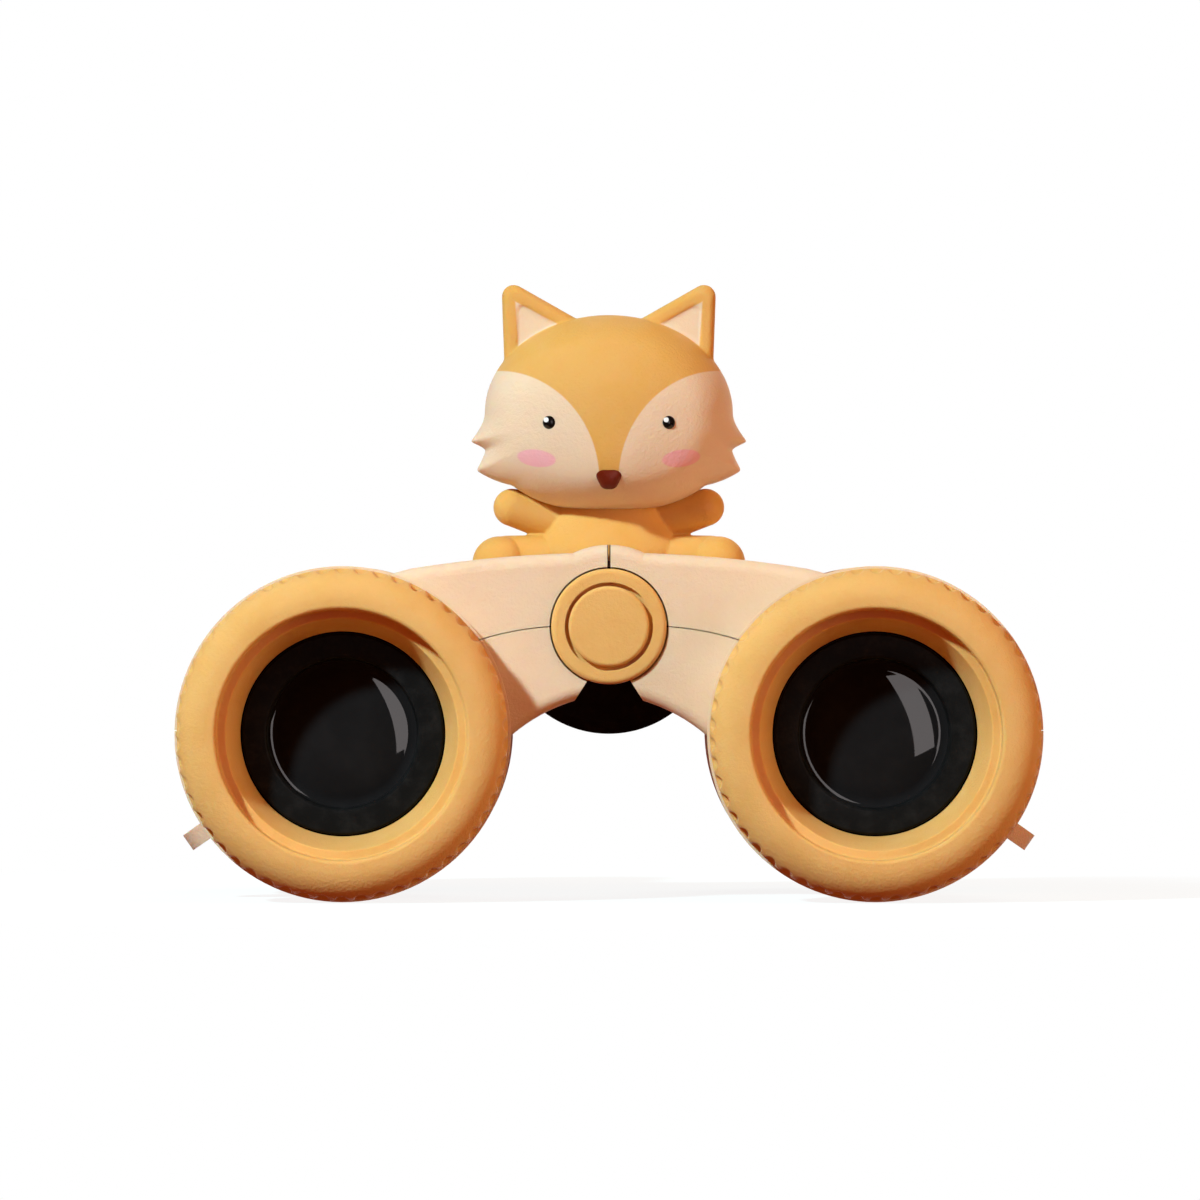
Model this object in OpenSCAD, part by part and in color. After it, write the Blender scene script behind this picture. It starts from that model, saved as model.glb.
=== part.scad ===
// Folding toy binoculars with a small fox figure on the hinge.
// Millimetres. X runs to the right, Z up, and Y from the objective rings back to the eyecups.
// The model stands fully open on its two barrels, with Z = 0 on the floor.

/* [Barrels] */
// Largest outside radius of a barrel
barrel_r = 20.3; // [17:0.1:24]
// Depth of the narrow waist of a barrel
waist_depth = 2.7; // [1.5:0.1:3.2]
// Wall of a barrel at its waist
barrel_wall = 2.5; // [2:0.1:2.9]
// Radius of the rounded shoulder at the back of a barrel
shoulder_r = 9; // [8.6:0.1:9.6]
// Thickness of a strap lug
lug_t = 2.2; // [1.8:0.1:3]
// How far the tip of a strap lug stands out past the barrel's largest radius
lug_reach = 3.3; // [2.5:0.1:4]
// Radius of the hole through a strap lug
lug_hole_r = 1.5; // [1:0.1:1.6]
// Angle of a strap lug below the horizontal
lug_angle = 35; // [20:1:45]

/* [Bridge and hinge] */
// Distance from the hinge axis to the near side of a barrel
hinge_reach = 14.4; // [14.2:0.1:17]
// Angle of an open half below the horizontal
open_angle = 22; // [18:1:26]
// Angle that each half folds down from open
fold_angle = 18; // [10:1:20]
// Depth of the front bridge
front_bridge_depth = 9; // [8.6:0.1:11]
// Depth of the rear bridge
rear_bridge_depth = 8; // [7:0.1:10]
// Space between the two bridges, where the fox sits
saddle_gap = 10; // [9.8:0.1:10.4]
// Height of the bridge's top edge above the hinge axis
bridge_top = 8.95; // [8.6:0.05:9.2]
// Radius of the raised round over the hinge
hump_r = 9.9; // [9.6:0.1:10.2]
// Edge rounding of the bridge
edge_r = 1.5; // [0.8:0.1:1.8]
// Radius of a hinge knuckle
knuckle_r = 6.4; // [5.6:0.1:6.4]
// Radius of the hinge axle
axle_r = 3.2; // [3:0.1:3.4]
// Radius of the hinge cap
cap_r = 7; // [6.9:0.1:7.2]
// Radius of the cover disc in the hinge cap
cover_r = 4.9; // [3.6:0.1:5.2]

/* [Objective] */
// How much smaller than the barrel an objective ring is
ring_inset = 0.3; // [0.2:0.1:0.8]
// Length of an objective ring in front of the barrel
ring_len = 7.5; // [6.5:0.1:8]
// Width of the rounded band of an objective ring
ring_band = 4.9; // [4.4:0.1:5.2]
// Fall in radius from the ring's lip to the bottom of its funnel
funnel_fall = 2.7; // [2.4:0.1:3]
// Number of flutes round an objective ring
ring_flutes = 54; // [36:1:60]
// Depth of a flute
flute_depth = 0.5; // [0.3:0.05:0.6]
// Width of the black land round the clear opening
land_w = 3.2; // [2.8:0.1:4]
// Radius of curvature of an objective lens
lens_curve = 28; // [26:1:40]

/* [Focus and eyepieces] */
// Radius of the focus wheel
wheel_r = 13.4; // [11:0.1:13.5]
// Width of the focus wheel
wheel_w = 10; // [8:0.1:11]
// Number of grooves round the focus wheel
wheel_grooves = 36; // [20:1:40]
// Forward focus travel from the middle setting
focus_in = 2; // [1:0.1:2.5]
// Radius of the focus screw
screw_r = 1.7; // [1.5:0.1:1.8]
// Thickness of the sliding guide between a barrel's bore and its eyepiece tube
guide_wall = 2.6; // [2.2:0.1:3]
// Thickness of a focus arm
arm_t = 3; // [2.6:0.1:4]
// How far the rim of an eyecup stands out from the eyepiece tube
eyecup_flare = 3.3; // [2.6:0.1:4]
// Length of an eyecup
eyecup_len = 17.8; // [15:0.1:20]

/* [Fox] */
// Half width of the fox's head without the cheek tufts
head_w = 15.2; // [14:0.1:16]
// Half height of the fox's head
head_h = 12; // [11.4:0.1:12.2]
// Half depth of the fox's head
head_d = 10.8; // [9:0.1:12]
// How far the upper cheek tuft stands out
upper_tuft = 2; // [0.5:0.1:2.5]
// How far the lower cheek tuft stands out
lower_tuft = 2.4; // [0.5:0.1:2.8]
// Thickness of the rim round an ear
ear_rim = 2.5; // [2:0.1:2.8]

/* [Fits] */
// Radial running clearance of shafts and sliding tubes
running = 0.06; // [0.03:0.01:0.09]
// Gap between pieces that are fixed to each other
seat_gap = 0.05; // [0.03:0.01:0.1]
// Gap along the seams between shells
seam_gap = 0.12; // [0.1:0.01:0.2]
// Gap between pieces that move past each other
moving_gap = 0.3; // [0.25:0.05:0.4]
// Gap along the hinge axis between pieces that turn on it
axial_gap = 0.15; // [0.1:0.05:0.2]

/* [Hidden] */
$fn = 64;
cream = [0.93, 0.83, 0.72];
orange = [0.91, 0.68, 0.34];
black = [0.07, 0.07, 0.08];
steel = [0.70, 0.71, 0.73];
brass = [0.78, 0.62, 0.32];
glass = [0.15, 0.18, 0.22];
brown = [0.30, 0.15, 0.09];

// Places of the barrel axes, with the hinge axis at X = 0
hinge_to_barrel = hinge_reach + barrel_r;
barrel_x = hinge_to_barrel * cos(open_angle);
barrel_drop = hinge_to_barrel * sin(open_angle);
hinge_z = barrel_r + barrel_drop;

// Places along Y, counted from the front of the objective rings
flange_len = 3.4;
washer_t = 0.7;
arm_room = 1.5;
eyecup_gap = 0.7;
tube_tail = 6.4;
barrel_y0 = ring_len + 2 * seat_gap;
front_y0 = barrel_y0 + flange_len;
front_y1 = front_y0 + front_bridge_depth;
rear_y0 = front_y1 + saddle_gap;
rear_y1 = rear_y0 + rear_bridge_depth;
wheel_y0 = rear_y1 + washer_t + 2 * axial_gap;
wheel_y1 = wheel_y0 + wheel_w;
barrel_y1 = wheel_y1;
focus_y0 = barrel_y1 + focus_in + arm_room;
focus_y1 = focus_y0 + arm_t;
eyecup_y0 = focus_y1 + eyecup_gap;
tube_y1 = eyecup_y0 + tube_tail;
eyecup_y1 = eyecup_y0 + eyecup_len;
total_len = eyecup_y1;
fox_y = (front_y1 + rear_y0) / 2;

// Barrel: a waist cut by one large arc between the bridges, and a round shoulder
waist_r = barrel_r - waist_depth;
bore_r = waist_r - barrel_wall;
waist_y = (front_y0 + rear_y1) / 2;
waist_half = (rear_y1 - front_y0) / 2 + 0.5;
waist_curve = (waist_half ^ 2 + waist_depth ^ 2) / (2 * waist_depth);
shoulder_y = barrel_y1 - 0.89 * shoulder_r;
socket_wall = 3;
socket_len = 5;
guide_len = 5;
socket_r = barrel_r - socket_wall;
socket_y1 = barrel_y0 + socket_len;
guide_y0 = barrel_y1 - guide_len;
lug_r = 4.8;
lug_rim = 1;
lug_tip_r = barrel_r + lug_reach;
lug_hole_at = lug_tip_r - lug_hole_r - lug_rim;

// Bridge: a long arc on top that runs into a tighter one, an arch below and a notch for folding
top_curve = 150;
dive_curve = 70;
dive_len = 8.2;
dive_sink = 0.16;
arch_r = 21.2;
arch_x = 2;
arch_z = 29.3;
notch_angle = fold_angle + 3.4;
notch_flare = 32.7;
notch_x = cap_r * sin(notch_angle);
notch_z = -cap_r * cos(notch_angle);
parting_curve = 36;
parting_x = 4.8;
function parting_height(x) = sqrt(parting_curve ^ 2 - (x - parting_x) ^ 2) - parting_curve;
parting_z = parting_height(barrel_x);

// Centre of the tighter arc: from a point on the long arc to one just under the barrel's waist
dive_x = barrel_x - dive_len;
dive_start = [dive_x, bridge_top - top_curve + sqrt(top_curve ^ 2 - dive_x ^ 2)];
dive_end = [barrel_x, waist_r - barrel_drop - dive_sink];
dive_way = dive_end - dive_start;
dive_rise = sqrt(dive_curve ^ 2 - dive_way * dive_way / 4);
dive_centre = (dive_start + dive_end) / 2 + dive_rise * [dive_way[1], -dive_way[0]] / norm(dive_way);

// Hinge stack
recess_depth = 3.6;
cap_gap = 0.2;
washer_room = 0.65;
hinge_screw_r = 1.5;
hinge_screw_len = 10.5;
screw_head_r = 4.2;
screw_head_t = 1.45;
spring_r = 5.6;
cap_proud = 0.7;
cap_stem_r = 1.5;
cap_pocket = 0.9;
flange_at = 4.2;
flange_t = 1.4;
flange_w = 1.1;
spine_r = 6.2;
saddle_w = 9;
saddle_d = 8.8;
saddle_top = 8.6;
recess_y1 = front_y0 + recess_depth;
front_mid = (recess_y1 + front_y1) / 2;
rear_mid = (rear_y0 + rear_y1) / 2;
left_knuckles = [[recess_y1, front_mid - axial_gap / 2], [rear_mid + axial_gap / 2, rear_y1]];
right_knuckles = [[front_mid + axial_gap / 2, front_y1], [rear_y0, rear_mid - axial_gap / 2]];
axle_y0 = recess_y1 - washer_room;
flange_y0 = wheel_y0 + flange_at;
flange_y1 = flange_y0 + flange_t;
flange_r = axle_r + flange_w;
cap_face_y = front_y0 - cap_proud;
cap_back_y = axle_y0 - 2 * seat_gap;
cap_pocket_y1 = cap_face_y + cap_pocket;

// Shell screws, sunk into the arch under each bridge
screw_gap = 2;
shell_head_r = 1.8;
shell_head_t = 1.3;
shell_head_sink = 2.34;
shell_shank_r = 0.9;
screw_bite = 2.86;
shell_screw_x = barrel_x - barrel_r - screw_gap;
shell_screw_ys = [(front_y0 + front_y1) / 2, rear_mid];
shell_head_z = sqrt(arch_r ^ 2 - (shell_screw_x + arch_x) ^ 2) - arch_z + shell_head_sink;
shell_screw_len = parting_height(shell_screw_x) + screw_bite - shell_head_z;

// Optics
retainer_gap = 1.5;
retainer_t = 2.4;
retainer_wall = 2.7;
retainer_lip = 1.3;
lens_rim = 2.8;
lens_set = 1.25;
lens_t = 4.3;
tube_room = 9;
ocular_wall = 1.7;
ocular_t = 1.9;
ocular_set = 3.05;
ring_r = barrel_r - ring_inset;
ring_lip_r = ring_r - ring_band;
funnel_r = ring_lip_r - funnel_fall;
aperture_r = funnel_r - land_w;
retainer_y0 = ring_len + retainer_gap;
retainer_y1 = retainer_y0 + retainer_t;
retainer_r = socket_r - retainer_wall;
lens_r = aperture_r + lens_rim;
lens_apex = retainer_y0 + lens_set;
lens_y1 = lens_apex + lens_t;
lens_tube_r = bore_r - 4 * seat_gap;
lens_tube_y0 = retainer_y1 + 2 * seat_gap;
lens_tube_y1 = guide_y0 - tube_room;
tube_r = bore_r - guide_wall;
ocular_r = tube_r - ocular_wall;
ocular_y0 = tube_y1 - ocular_set;
ocular_y1 = ocular_y0 + ocular_t;
eyecup_r = tube_r + eyecup_flare;

// Focus drive
nut_r = 5.5;
nut_gap = 0.5;
eye_r = 4.6;
arm_h = 6.4;
arm_hold = 2.1;
journal_r = 2;
screw_tail_r = 1.2;
screw_tail = 2.4;
screw_room = 0.1;
nut_y0 = flange_y1 + nut_gap;
screw_y0 = rear_y1 + focus_in + screw_room;
screw_tail_y1 = focus_y1 + screw_tail;
focus_mid = (focus_y0 + focus_y1) / 2;
end_cap_y0 = focus_y1 + 2 * seat_gap;

// Fox, with heights counted from the hinge axis
head_z = 26.1;
head_rows = 18;
neck_z = 14.2;
neck_peg_r = 2.6;
neck_peg_len = 3.2;
neck_hole_len = 5;
eye_x = 7.3;
eye_z = 24.8;
eye_size = 0.82;
eye_dome = 0.45;
eye_root = 1.2;
eye_tilt = 20;
nose_z = 18.2;
ear_tip = [11.75, 40.6];
ear_outer = [12.1, 32.6];
ear_inner = [4.9, 36.2];
ear_y = fox_y - 0.6;
chest = [6, 2.6, 2];
chest_z = 13.9;
seat = [9.5, 4.4, 2.6];
seat_z = 8.9;
shoulder = [7, 0.4, 14];
shoulder_size = 2.8;
hand = [12.3, -0.6, 15];
hand_size = 1.9;
hip = [5, 0.4, 7.9];
ankle = [12.4, 0.4, 7.8];
leg_size = 3.3;
toe = [13.4, -1.1, 7.7];
heel = [13.4, 0.8, 7.7];
foot_size = 3.3;

// Placing and basic forms

// Moves from the drawing's zero (hinge axis, ring front) to the model's frame
module at_hinge() translate([0, -total_len / 2, hinge_z]) children();

// Places a half that is drawn on the right; side -1 mirrors it to the left
module on_side(side) at_hinge() if (side > 0) children(); else mirror([1, 0, 0]) children();

// Moves to the axis of the right barrel
module at_barrel() translate([barrel_x, 0, -barrel_drop]) children();

// A round bar along Y
module bar_y(r, y0, y1) translate([0, y0, 0]) rotate([-90, 0, 0]) cylinder(r = r, h = y1 - y0);

// Turns a profile of (radius, y) about the Y axis
module turn_y() rotate([-90, 0, 0]) rotate_extrude() children();

// Extrudes a front view of (x, z) along Y
module front_extrude(y0, y1) translate([0, y1, 0]) rotate([90, 0, 0]) linear_extrude(y1 - y0) children();

// Profile of a plain ring
module ring_profile(r0, r1, y0, y1) translate([r0, y0]) square([r1 - r0, y1 - y0]);

// Profile of a disc or band whose two outer edges are rounded
module soft_profile(r0, r1, y0, y1, e) {
  ring_profile(r0, r1 - e, y0, y1);
  ring_profile(r0, r1, y0 + e, y1 - e);
  for (y = [y0 + e, y1 - e]) translate([r1 - e, y]) circle(e);
}

// Halves

// Barrel wall: straight, then a round shoulder, with the waist bitten out by one large arc
module barrel_profile() {
  difference() {
    intersection() {
      union() {
        ring_profile(0, barrel_r, barrel_y0, shoulder_y);
        ring_profile(0, barrel_r - shoulder_r, shoulder_y - 1, barrel_y1);
        translate([barrel_r - shoulder_r, shoulder_y]) circle(shoulder_r);
      }
      ring_profile(0, barrel_r + 1, barrel_y0, barrel_y1);
    }
    translate([waist_r + waist_curve, waist_y]) circle(waist_curve);
  }
}

module barrel_inside() {
  bar_y(socket_r, barrel_y0 - 1, socket_y1);
  bar_y(bore_r, barrel_y0, guide_y0);
  bar_y(tube_r + running, guide_y0 - 1, barrel_y1 + 1);
}

module strap_lug() {
  rotate([0, lug_angle, 0]) translate([0, 0, -lug_t / 2]) linear_extrude(lug_t)
    translate([lug_tip_r - lug_r, waist_y]) circle(lug_r);
}

module lug_hole() {
  rotate([0, lug_angle, 0]) translate([lug_hole_at, waist_y, 0])
    cylinder(r = lug_hole_r, h = 2 * lug_t, center = true);
}

// The disc under the bridge arch; its flared ends leave the arch's edges rounded
module arch_profile(y0, y1) {
  ring_profile(0, arch_r, y0 - 1, y1 + 1);
  difference() {
    union() {
      ring_profile(arch_r - 1, arch_r + edge_r, y0 - 1, y0 + edge_r);
      ring_profile(arch_r - 1, arch_r + edge_r, y1 - edge_r, y1 + 1);
    }
    for (y = [y0 + edge_r, y1 - edge_r]) translate([arch_r + edge_r, y]) circle(edge_r);
  }
}

// Slanted cut under the hinge knob, drawn past the knob above and past the arch below
module notch_shape() {
  reach = arch_z - arch_r + 8;
  overrun = 3;
  polygon([
    [-1, notch_z + overrun],
    [notch_x - overrun * tan(notch_flare), notch_z + overrun],
    [notch_x + reach * tan(notch_flare), notch_z - reach],
    [-1, notch_z - reach]
  ]);
}

// What the tighter arc takes off the end of an arm, leaving rounded edges
module dive_cut(y0, y1) {
  intersection() {
    translate([dive_centre[0], 0, dive_centre[1]]) turn_y() difference() {
      ring_profile(dive_curve - edge_r, dive_curve + barrel_r, y0 - 1, y1 + 1);
      soft_profile(0, dive_curve, y0, y1, edge_r);
    }
    translate([dive_x - dive_len, y0 - 2, -barrel_drop]) cube([3 * dive_len, y1 - y0 + 4, 2 * barrel_drop]);
  }
}

// Right arm of one bridge: a long top arc, a raised round over the hinge and an arch below
module bridge_arm(y0, y1) {
  floor_z = -barrel_drop - 7;
  difference() {
    intersection() {
      union() {
        translate([0, 0, bridge_top - top_curve]) turn_y()
          soft_profile(top_curve - 2 * barrel_r, top_curve, y0, y1, edge_r);
        turn_y() soft_profile(0, hump_r, y0, y1, edge_r);
      }
      translate([seam_gap / 2, y0 - 1, floor_z])
        cube([barrel_x + 3 - seam_gap / 2, y1 - y0 + 2, 2 * hump_r - floor_z]);
    }
    dive_cut(y0, y1);
    translate([-arch_x, 0, -arch_z]) turn_y() arch_profile(y0, y1);
    front_extrude(y0 - 1, y1 + 1) notch_shape();
  }
}

// One half before it is split into its two shells
module whole_shell(other_knuckles) {
  difference() {
    union() {
      at_barrel() turn_y() barrel_profile();
      bridge_arm(front_y0, front_y1);
      bridge_arm(rear_y0, rear_y1);
      at_barrel() strap_lug();
    }
    at_barrel() barrel_inside();
    at_barrel() lug_hole();
    bar_y(cap_r + cap_gap, front_y0 - 1, recess_y1);
    for (k = other_knuckles) bar_y(knuckle_r + moving_gap, k[0] - axial_gap, k[1] + axial_gap);
    bar_y(axle_r + running, front_y0, rear_y1 + 1);
    shell_screw_holes();
  }
}

// Everything below the parting line, which arches from the hinge to the barrel axis
module below_parting(gap) {
  reach = 2 * barrel_r;
  front_extrude(-1, total_len) {
    intersection() {
      translate([parting_x, -parting_curve]) circle(parting_curve + gap, $fn = 128);
      translate([-reach, -2 * reach]) square([reach + barrel_x, 3 * reach]);
    }
    translate([barrel_x - 1, -2 * reach]) square([reach, 2 * reach + parting_z + gap]);
  }
}

module shell_screw_holes() {
  for (y = shell_screw_ys) translate([shell_screw_x, y, 0]) {
    translate([0, 0, shell_head_z - 20]) cylinder(r = shell_head_r + seat_gap, h = 20);
    translate([0, 0, shell_head_z - 1])
      cylinder(r = shell_shank_r + seat_gap, h = shell_screw_len + 1 + 4 * seat_gap);
  }
}

module upper_shell(own_knuckles, other_knuckles) {
  difference() {
    union() {
      difference() {
        whole_shell(other_knuckles);
        below_parting(seam_gap);
      }
      for (k = own_knuckles) bar_y(knuckle_r, k[0], k[1]);
    }
    bar_y(axle_r + running, front_y0, rear_y1 + 1);
  }
}

module lower_shell(own_knuckles, other_knuckles) {
  difference() {
    intersection() {
      whole_shell(other_knuckles);
      below_parting(0);
    }
    for (k = own_knuckles) bar_y(knuckle_r + seam_gap, k[0] - axial_gap, k[1] + axial_gap);
  }
}

module shell_screws() {
  for (y = shell_screw_ys) translate([shell_screw_x, y, 0]) {
    translate([0, 0, shell_head_z - shell_head_t]) cylinder(r = shell_head_r, h = shell_head_t - seat_gap);
    translate([0, 0, shell_head_z - shell_head_t / 2])
      cylinder(r = shell_shank_r, h = shell_screw_len + shell_head_t / 2);
  }
}

module left_upper_shell() color(cream) on_side(-1) upper_shell(left_knuckles, right_knuckles);
module right_upper_shell() color(cream) on_side(1) upper_shell(right_knuckles, left_knuckles);
module left_lower_shell() color(cream) on_side(-1) lower_shell(left_knuckles, right_knuckles);
module right_lower_shell() color(cream) on_side(1) lower_shell(right_knuckles, left_knuckles);
module left_shell_screws() color(steel) on_side(-1) shell_screws();
module right_shell_screws() color(steel) on_side(1) shell_screws();

// Objectives

// Half-round front, stepped funnel inside and a skirt that plugs into the barrel
module objective_ring() {
  nose_r = (ring_r - ring_lip_r) / 2;
  lip_edge = 0.5;
  skirt_y1 = retainer_y1;
  seat_y = retainer_y0 + retainer_lip - 2 * seat_gap;
  step_r = ring_lip_r - 1.1;
  step_y = nose_r + 1.2;
  cutter_r = 0.95;
  difference() {
    turn_y() {
      translate([ring_r - nose_r, nose_r]) circle(nose_r);
      translate([ring_lip_r + lip_edge, lip_edge]) circle(lip_edge);
      ring_profile(ring_lip_r + lip_edge, ring_r - nose_r, 0, nose_r);
      polygon([
        [ring_lip_r, lip_edge], [ring_r - nose_r, lip_edge], [ring_r - nose_r, nose_r],
        [ring_r, nose_r], [ring_r, ring_len],
        [socket_r - seat_gap, ring_len], [socket_r - seat_gap, skirt_y1],
        [retainer_r + seat_gap, skirt_y1], [retainer_r + seat_gap, seat_y],
        [funnel_r, seat_y], [funnel_r, retainer_y0],
        [step_r, step_y], [ring_lip_r, step_y]
      ]);
    }
    for (i = [0 : ring_flutes - 1]) rotate([0, (i + 0.5) * 360 / ring_flutes, 0])
      translate([ring_r - flute_depth + cutter_r, 0, 0]) bar_y(cutter_r, -1, ring_len - 0.8);
  }
}

// Front height of the objective lens at a radius
function lens_front(r) = lens_apex + lens_curve - sqrt(lens_curve ^ 2 - r ^ 2);

// Black land round the lens; its flange is trapped behind the objective ring
module retaining_ring() {
  land_r = funnel_r - 0.2;
  lip_r = aperture_r - 0.7;
  edge = 0.3;
  flange_y = retainer_y0 + retainer_lip;
  turn_y() polygon([
    [aperture_r, retainer_y0], [land_r - edge, retainer_y0], [land_r, retainer_y0 + edge],
    [land_r, flange_y], [retainer_r, flange_y], [retainer_r, retainer_y1],
    [aperture_r + 0.3, min(retainer_y1, lens_front(aperture_r) - 0.1)],
    [lip_r, lens_front(lip_r) - 0.25]
  ]);
}

module objective_lens() {
  intersection() {
    bar_y(lens_r, lens_apex - 1, lens_y1);
    translate([0, lens_apex + lens_curve, 0]) rotate([-90, 0, 0]) sphere(lens_curve);
  }
}

module lens_tube() {
  clear_r = lens_r - 1.4;
  turn_y() polygon([
    [lens_r + seat_gap, lens_tube_y0], [socket_r - seat_gap, lens_tube_y0],
    [socket_r - seat_gap, socket_y1 - seat_gap], [lens_tube_r, socket_y1 - seat_gap],
    [lens_tube_r, lens_tube_y1], [clear_r, lens_tube_y1],
    [clear_r, lens_y1 + seat_gap], [lens_r + seat_gap, lens_y1 + seat_gap]
  ]);
}

module left_objective_ring() color(orange) on_side(-1) at_barrel() objective_ring();
module right_objective_ring() color(orange) on_side(1) at_barrel() objective_ring();
module left_retaining_ring() color(black) on_side(-1) at_barrel() retaining_ring();
module right_retaining_ring() color(black) on_side(1) at_barrel() retaining_ring();
module left_objective_lens() color(glass) on_side(-1) at_barrel() objective_lens();
module right_objective_lens() color(glass) on_side(1) at_barrel() objective_lens();
module left_lens_tube() color(black) on_side(-1) at_barrel() lens_tube();
module right_lens_tube() color(black) on_side(1) at_barrel() lens_tube();

// Hinge

module hinge_axle() color(steel) at_hinge() difference() {
  union() {
    bar_y(axle_r, axle_y0, flange_y1);
    bar_y(flange_r, flange_y0, flange_y1);
  }
  bar_y(hinge_screw_r + seat_gap, axle_y0 - 1, axle_y0 + hinge_screw_len + 0.5);
  bar_y(screw_r + moving_gap, screw_y0 - focus_in - 1, flange_y1 + 1);
}

module hinge_screw() color(steel) at_hinge() {
  bar_y(screw_head_r, axle_y0 - seat_gap - screw_head_t, axle_y0 - seat_gap);
  bar_y(hinge_screw_r, axle_y0 - 1, axle_y0 + hinge_screw_len);
}

module spring_washer() color(steel) at_hinge() turn_y()
  ring_profile(axle_r + 0.1, spring_r, axle_y0 + seat_gap, recess_y1 - seat_gap);

// Knob in front of the hinge: a pocket in its face for the cover, one behind for the screw head
module hinge_cap() color(orange) at_hinge() difference() {
  turn_y() {
    soft_profile(0, cap_r, cap_face_y, cap_back_y, 0.6);
    ring_profile(0, cap_r, cap_back_y - 1.2, cap_back_y);
  }
  bar_y(cover_r + 0.45, cap_face_y - 1, cap_pocket_y1);
  bar_y(cap_stem_r + seat_gap, cap_pocket_y1 - 1, cap_back_y - 1);
  bar_y(screw_head_r + seat_gap, axle_y0 - screw_head_t - 0.1, cap_back_y + 1);
}

// Disc that stands a little proud of the knob and plugs into it with a short stem
module cap_cover() {
  face_y = cap_face_y - 0.3;
  back_y = cap_pocket_y1 - seat_gap;
  color(orange) at_hinge() {
    turn_y() {
      soft_profile(0, cover_r, face_y, back_y, 0.5);
      ring_profile(0, cover_r, face_y + 0.6, back_y);
    }
    bar_y(cap_stem_r, back_y - 0.5, cap_pocket_y1 + 0.8);
  }
}

// Sleeve on the axle with the block that the fox sits on
module hinge_spine() color(cream) at_hinge() difference() {
  union() {
    bar_y(spine_r, front_y1 + axial_gap, rear_y0 - axial_gap);
    translate([-saddle_w / 2, fox_y - saddle_d / 2, 0]) cube([saddle_w, saddle_d, saddle_top]);
  }
  bar_y(axle_r + seat_gap, front_y1, rear_y0);
}

module thrust_washer() color(steel) at_hinge() turn_y()
  ring_profile(axle_r + 0.1, spine_r, rear_y1 + axial_gap, wheel_y0 - axial_gap);

// Fox figure

// Rise of one cheek tuft at an angle: it grows slowly from start to tip and falls off to end
function tuft(angle, start, tip, end, rise) =
  angle >= start || angle <= end ? 0 :
  angle > tip ? rise * ((start - angle) / (start - tip)) ^ 2 :
  rise * (angle - end) / (tip - end);

// Outline radius of the head, seen from the front, at an angle above the horizontal
function head_outline(angle) =
  let (n = angle > 0 ? 2 : 2.5)
  (abs(cos(angle) / head_w) ^ n + abs(sin(angle) / head_h) ^ n) ^ (-1 / n);

function cheek(angle) = tuft(angle, 0, -11.7, -16.5, upper_tuft) + tuft(angle, -12, -23.4, -37, lower_tuft);

// How much of the outline a slice at a latitude has: full in the middle, none at front and back
function head_slice(lat) = cos(lat) ^ 0.9;

// Muzzle bulge at a place on the face
function muzzle(x, z) = 1.1 * exp(-(x / 5) ^ 2 - ((z + 8) / 4) ^ 2);

// A point on the head; side mirrors it, and latitude runs from -90 in front to 90 behind
function head_point(side, angle, lat) =
  let (
    r = head_slice(lat) * head_outline(angle) + cheek(angle) * cos(lat) ^ 6,
    x = side * r * cos(angle),
    z = r * sin(angle)
  )
  [x, fox_y + head_d * sin(lat) - (lat < 0 ? muzzle(x, z) : 0), head_z + z];

// Y of the face at a place that no tuft reaches
function face_y(x, z) =
  let (k = norm([x, z - head_z]) / head_outline(atan2(z - head_z, abs(x))))
  fox_y - head_d * sin(acos(k ^ (1 / 0.9))) - muzzle(x, z - head_z);

// Head as rings of points from front to back; the rings are closest together at the cheek tufts
module head_skin() {
  angles = concat(
    [for (a = [-90 : 12 : -54]) a], [-46, -37, -32, -27.5, -23.4, -20],
    [-16.5, -14, -11.7, -9, -5.5, -2, 4, 16], [for (a = [30 : 12 : 90]) a]
  );
  around = concat(
    [for (a = angles) [1, a]],
    [for (i = [len(angles) - 2 : -1 : 1]) [-1, angles[i]]]
  );
  n = len(around);
  points = concat(
    [[0, fox_y - head_d - muzzle(0, 0), head_z]],
    [for (i = [1 : head_rows - 1]) for (c = around) head_point(c[0], c[1], -90 + 180 * i / head_rows)],
    [[0, fox_y + head_d, head_z]]
  );
  last = len(points) - 1;
  faces = concat(
    [for (j = [0 : n - 1]) [0, 1 + (j + 1) % n, 1 + j]],
    [for (i = [0 : head_rows - 3]) for (j = [0 : n - 1]) for (half_quad = [0, 1])
      let (a = 1 + i * n + j, b = 1 + i * n + (j + 1) % n)
      half_quad == 0 ? [a, b, b + n] : [a, b + n, a + n]],
    [for (j = [0 : n - 1]) [last, last - n + j, last - n + (j + 1) % n]]
  );
  polyhedron(points, faces);
}

module ear_ball(place, r, y = 0) translate([place[0], ear_y + y, place[1]]) sphere(r, $fn = 20);

// One ear: a rounded rim along two sides with a thinner leaf between
module ear() {
  r = ear_rim / 2;
  for (foot = [ear_outer, ear_inner]) hull() {
    ear_ball(ear_tip, r);
    ear_ball(foot, r * 1.25);
  }
  hull() {
    ear_ball(ear_tip, r * 0.55, 0.6);
    for (foot = [ear_outer, ear_inner]) ear_ball(foot, r * 0.8, 0.6);
  }
}

// Rounded triangle of the nose; grow makes its seat in the head
module nose_form(grow) {
  y = face_y(0, nose_z) + 0.2;
  hull() {
    for (x = [-0.75, 0.75]) translate([x, y, nose_z + 0.55]) sphere(0.82 + grow, $fn = 20);
    translate([0, y, nose_z - 0.5]) sphere(0.85 + grow, $fn = 20);
  }
}

// Places a pair of eyes on the face, square to it
module at_eyes() {
  for (side = [0, 1]) mirror([side, 0, 0])
    translate([eye_x, face_y(eye_x, eye_z), eye_z]) rotate([0, 0, eye_tilt]) children();
}

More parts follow.
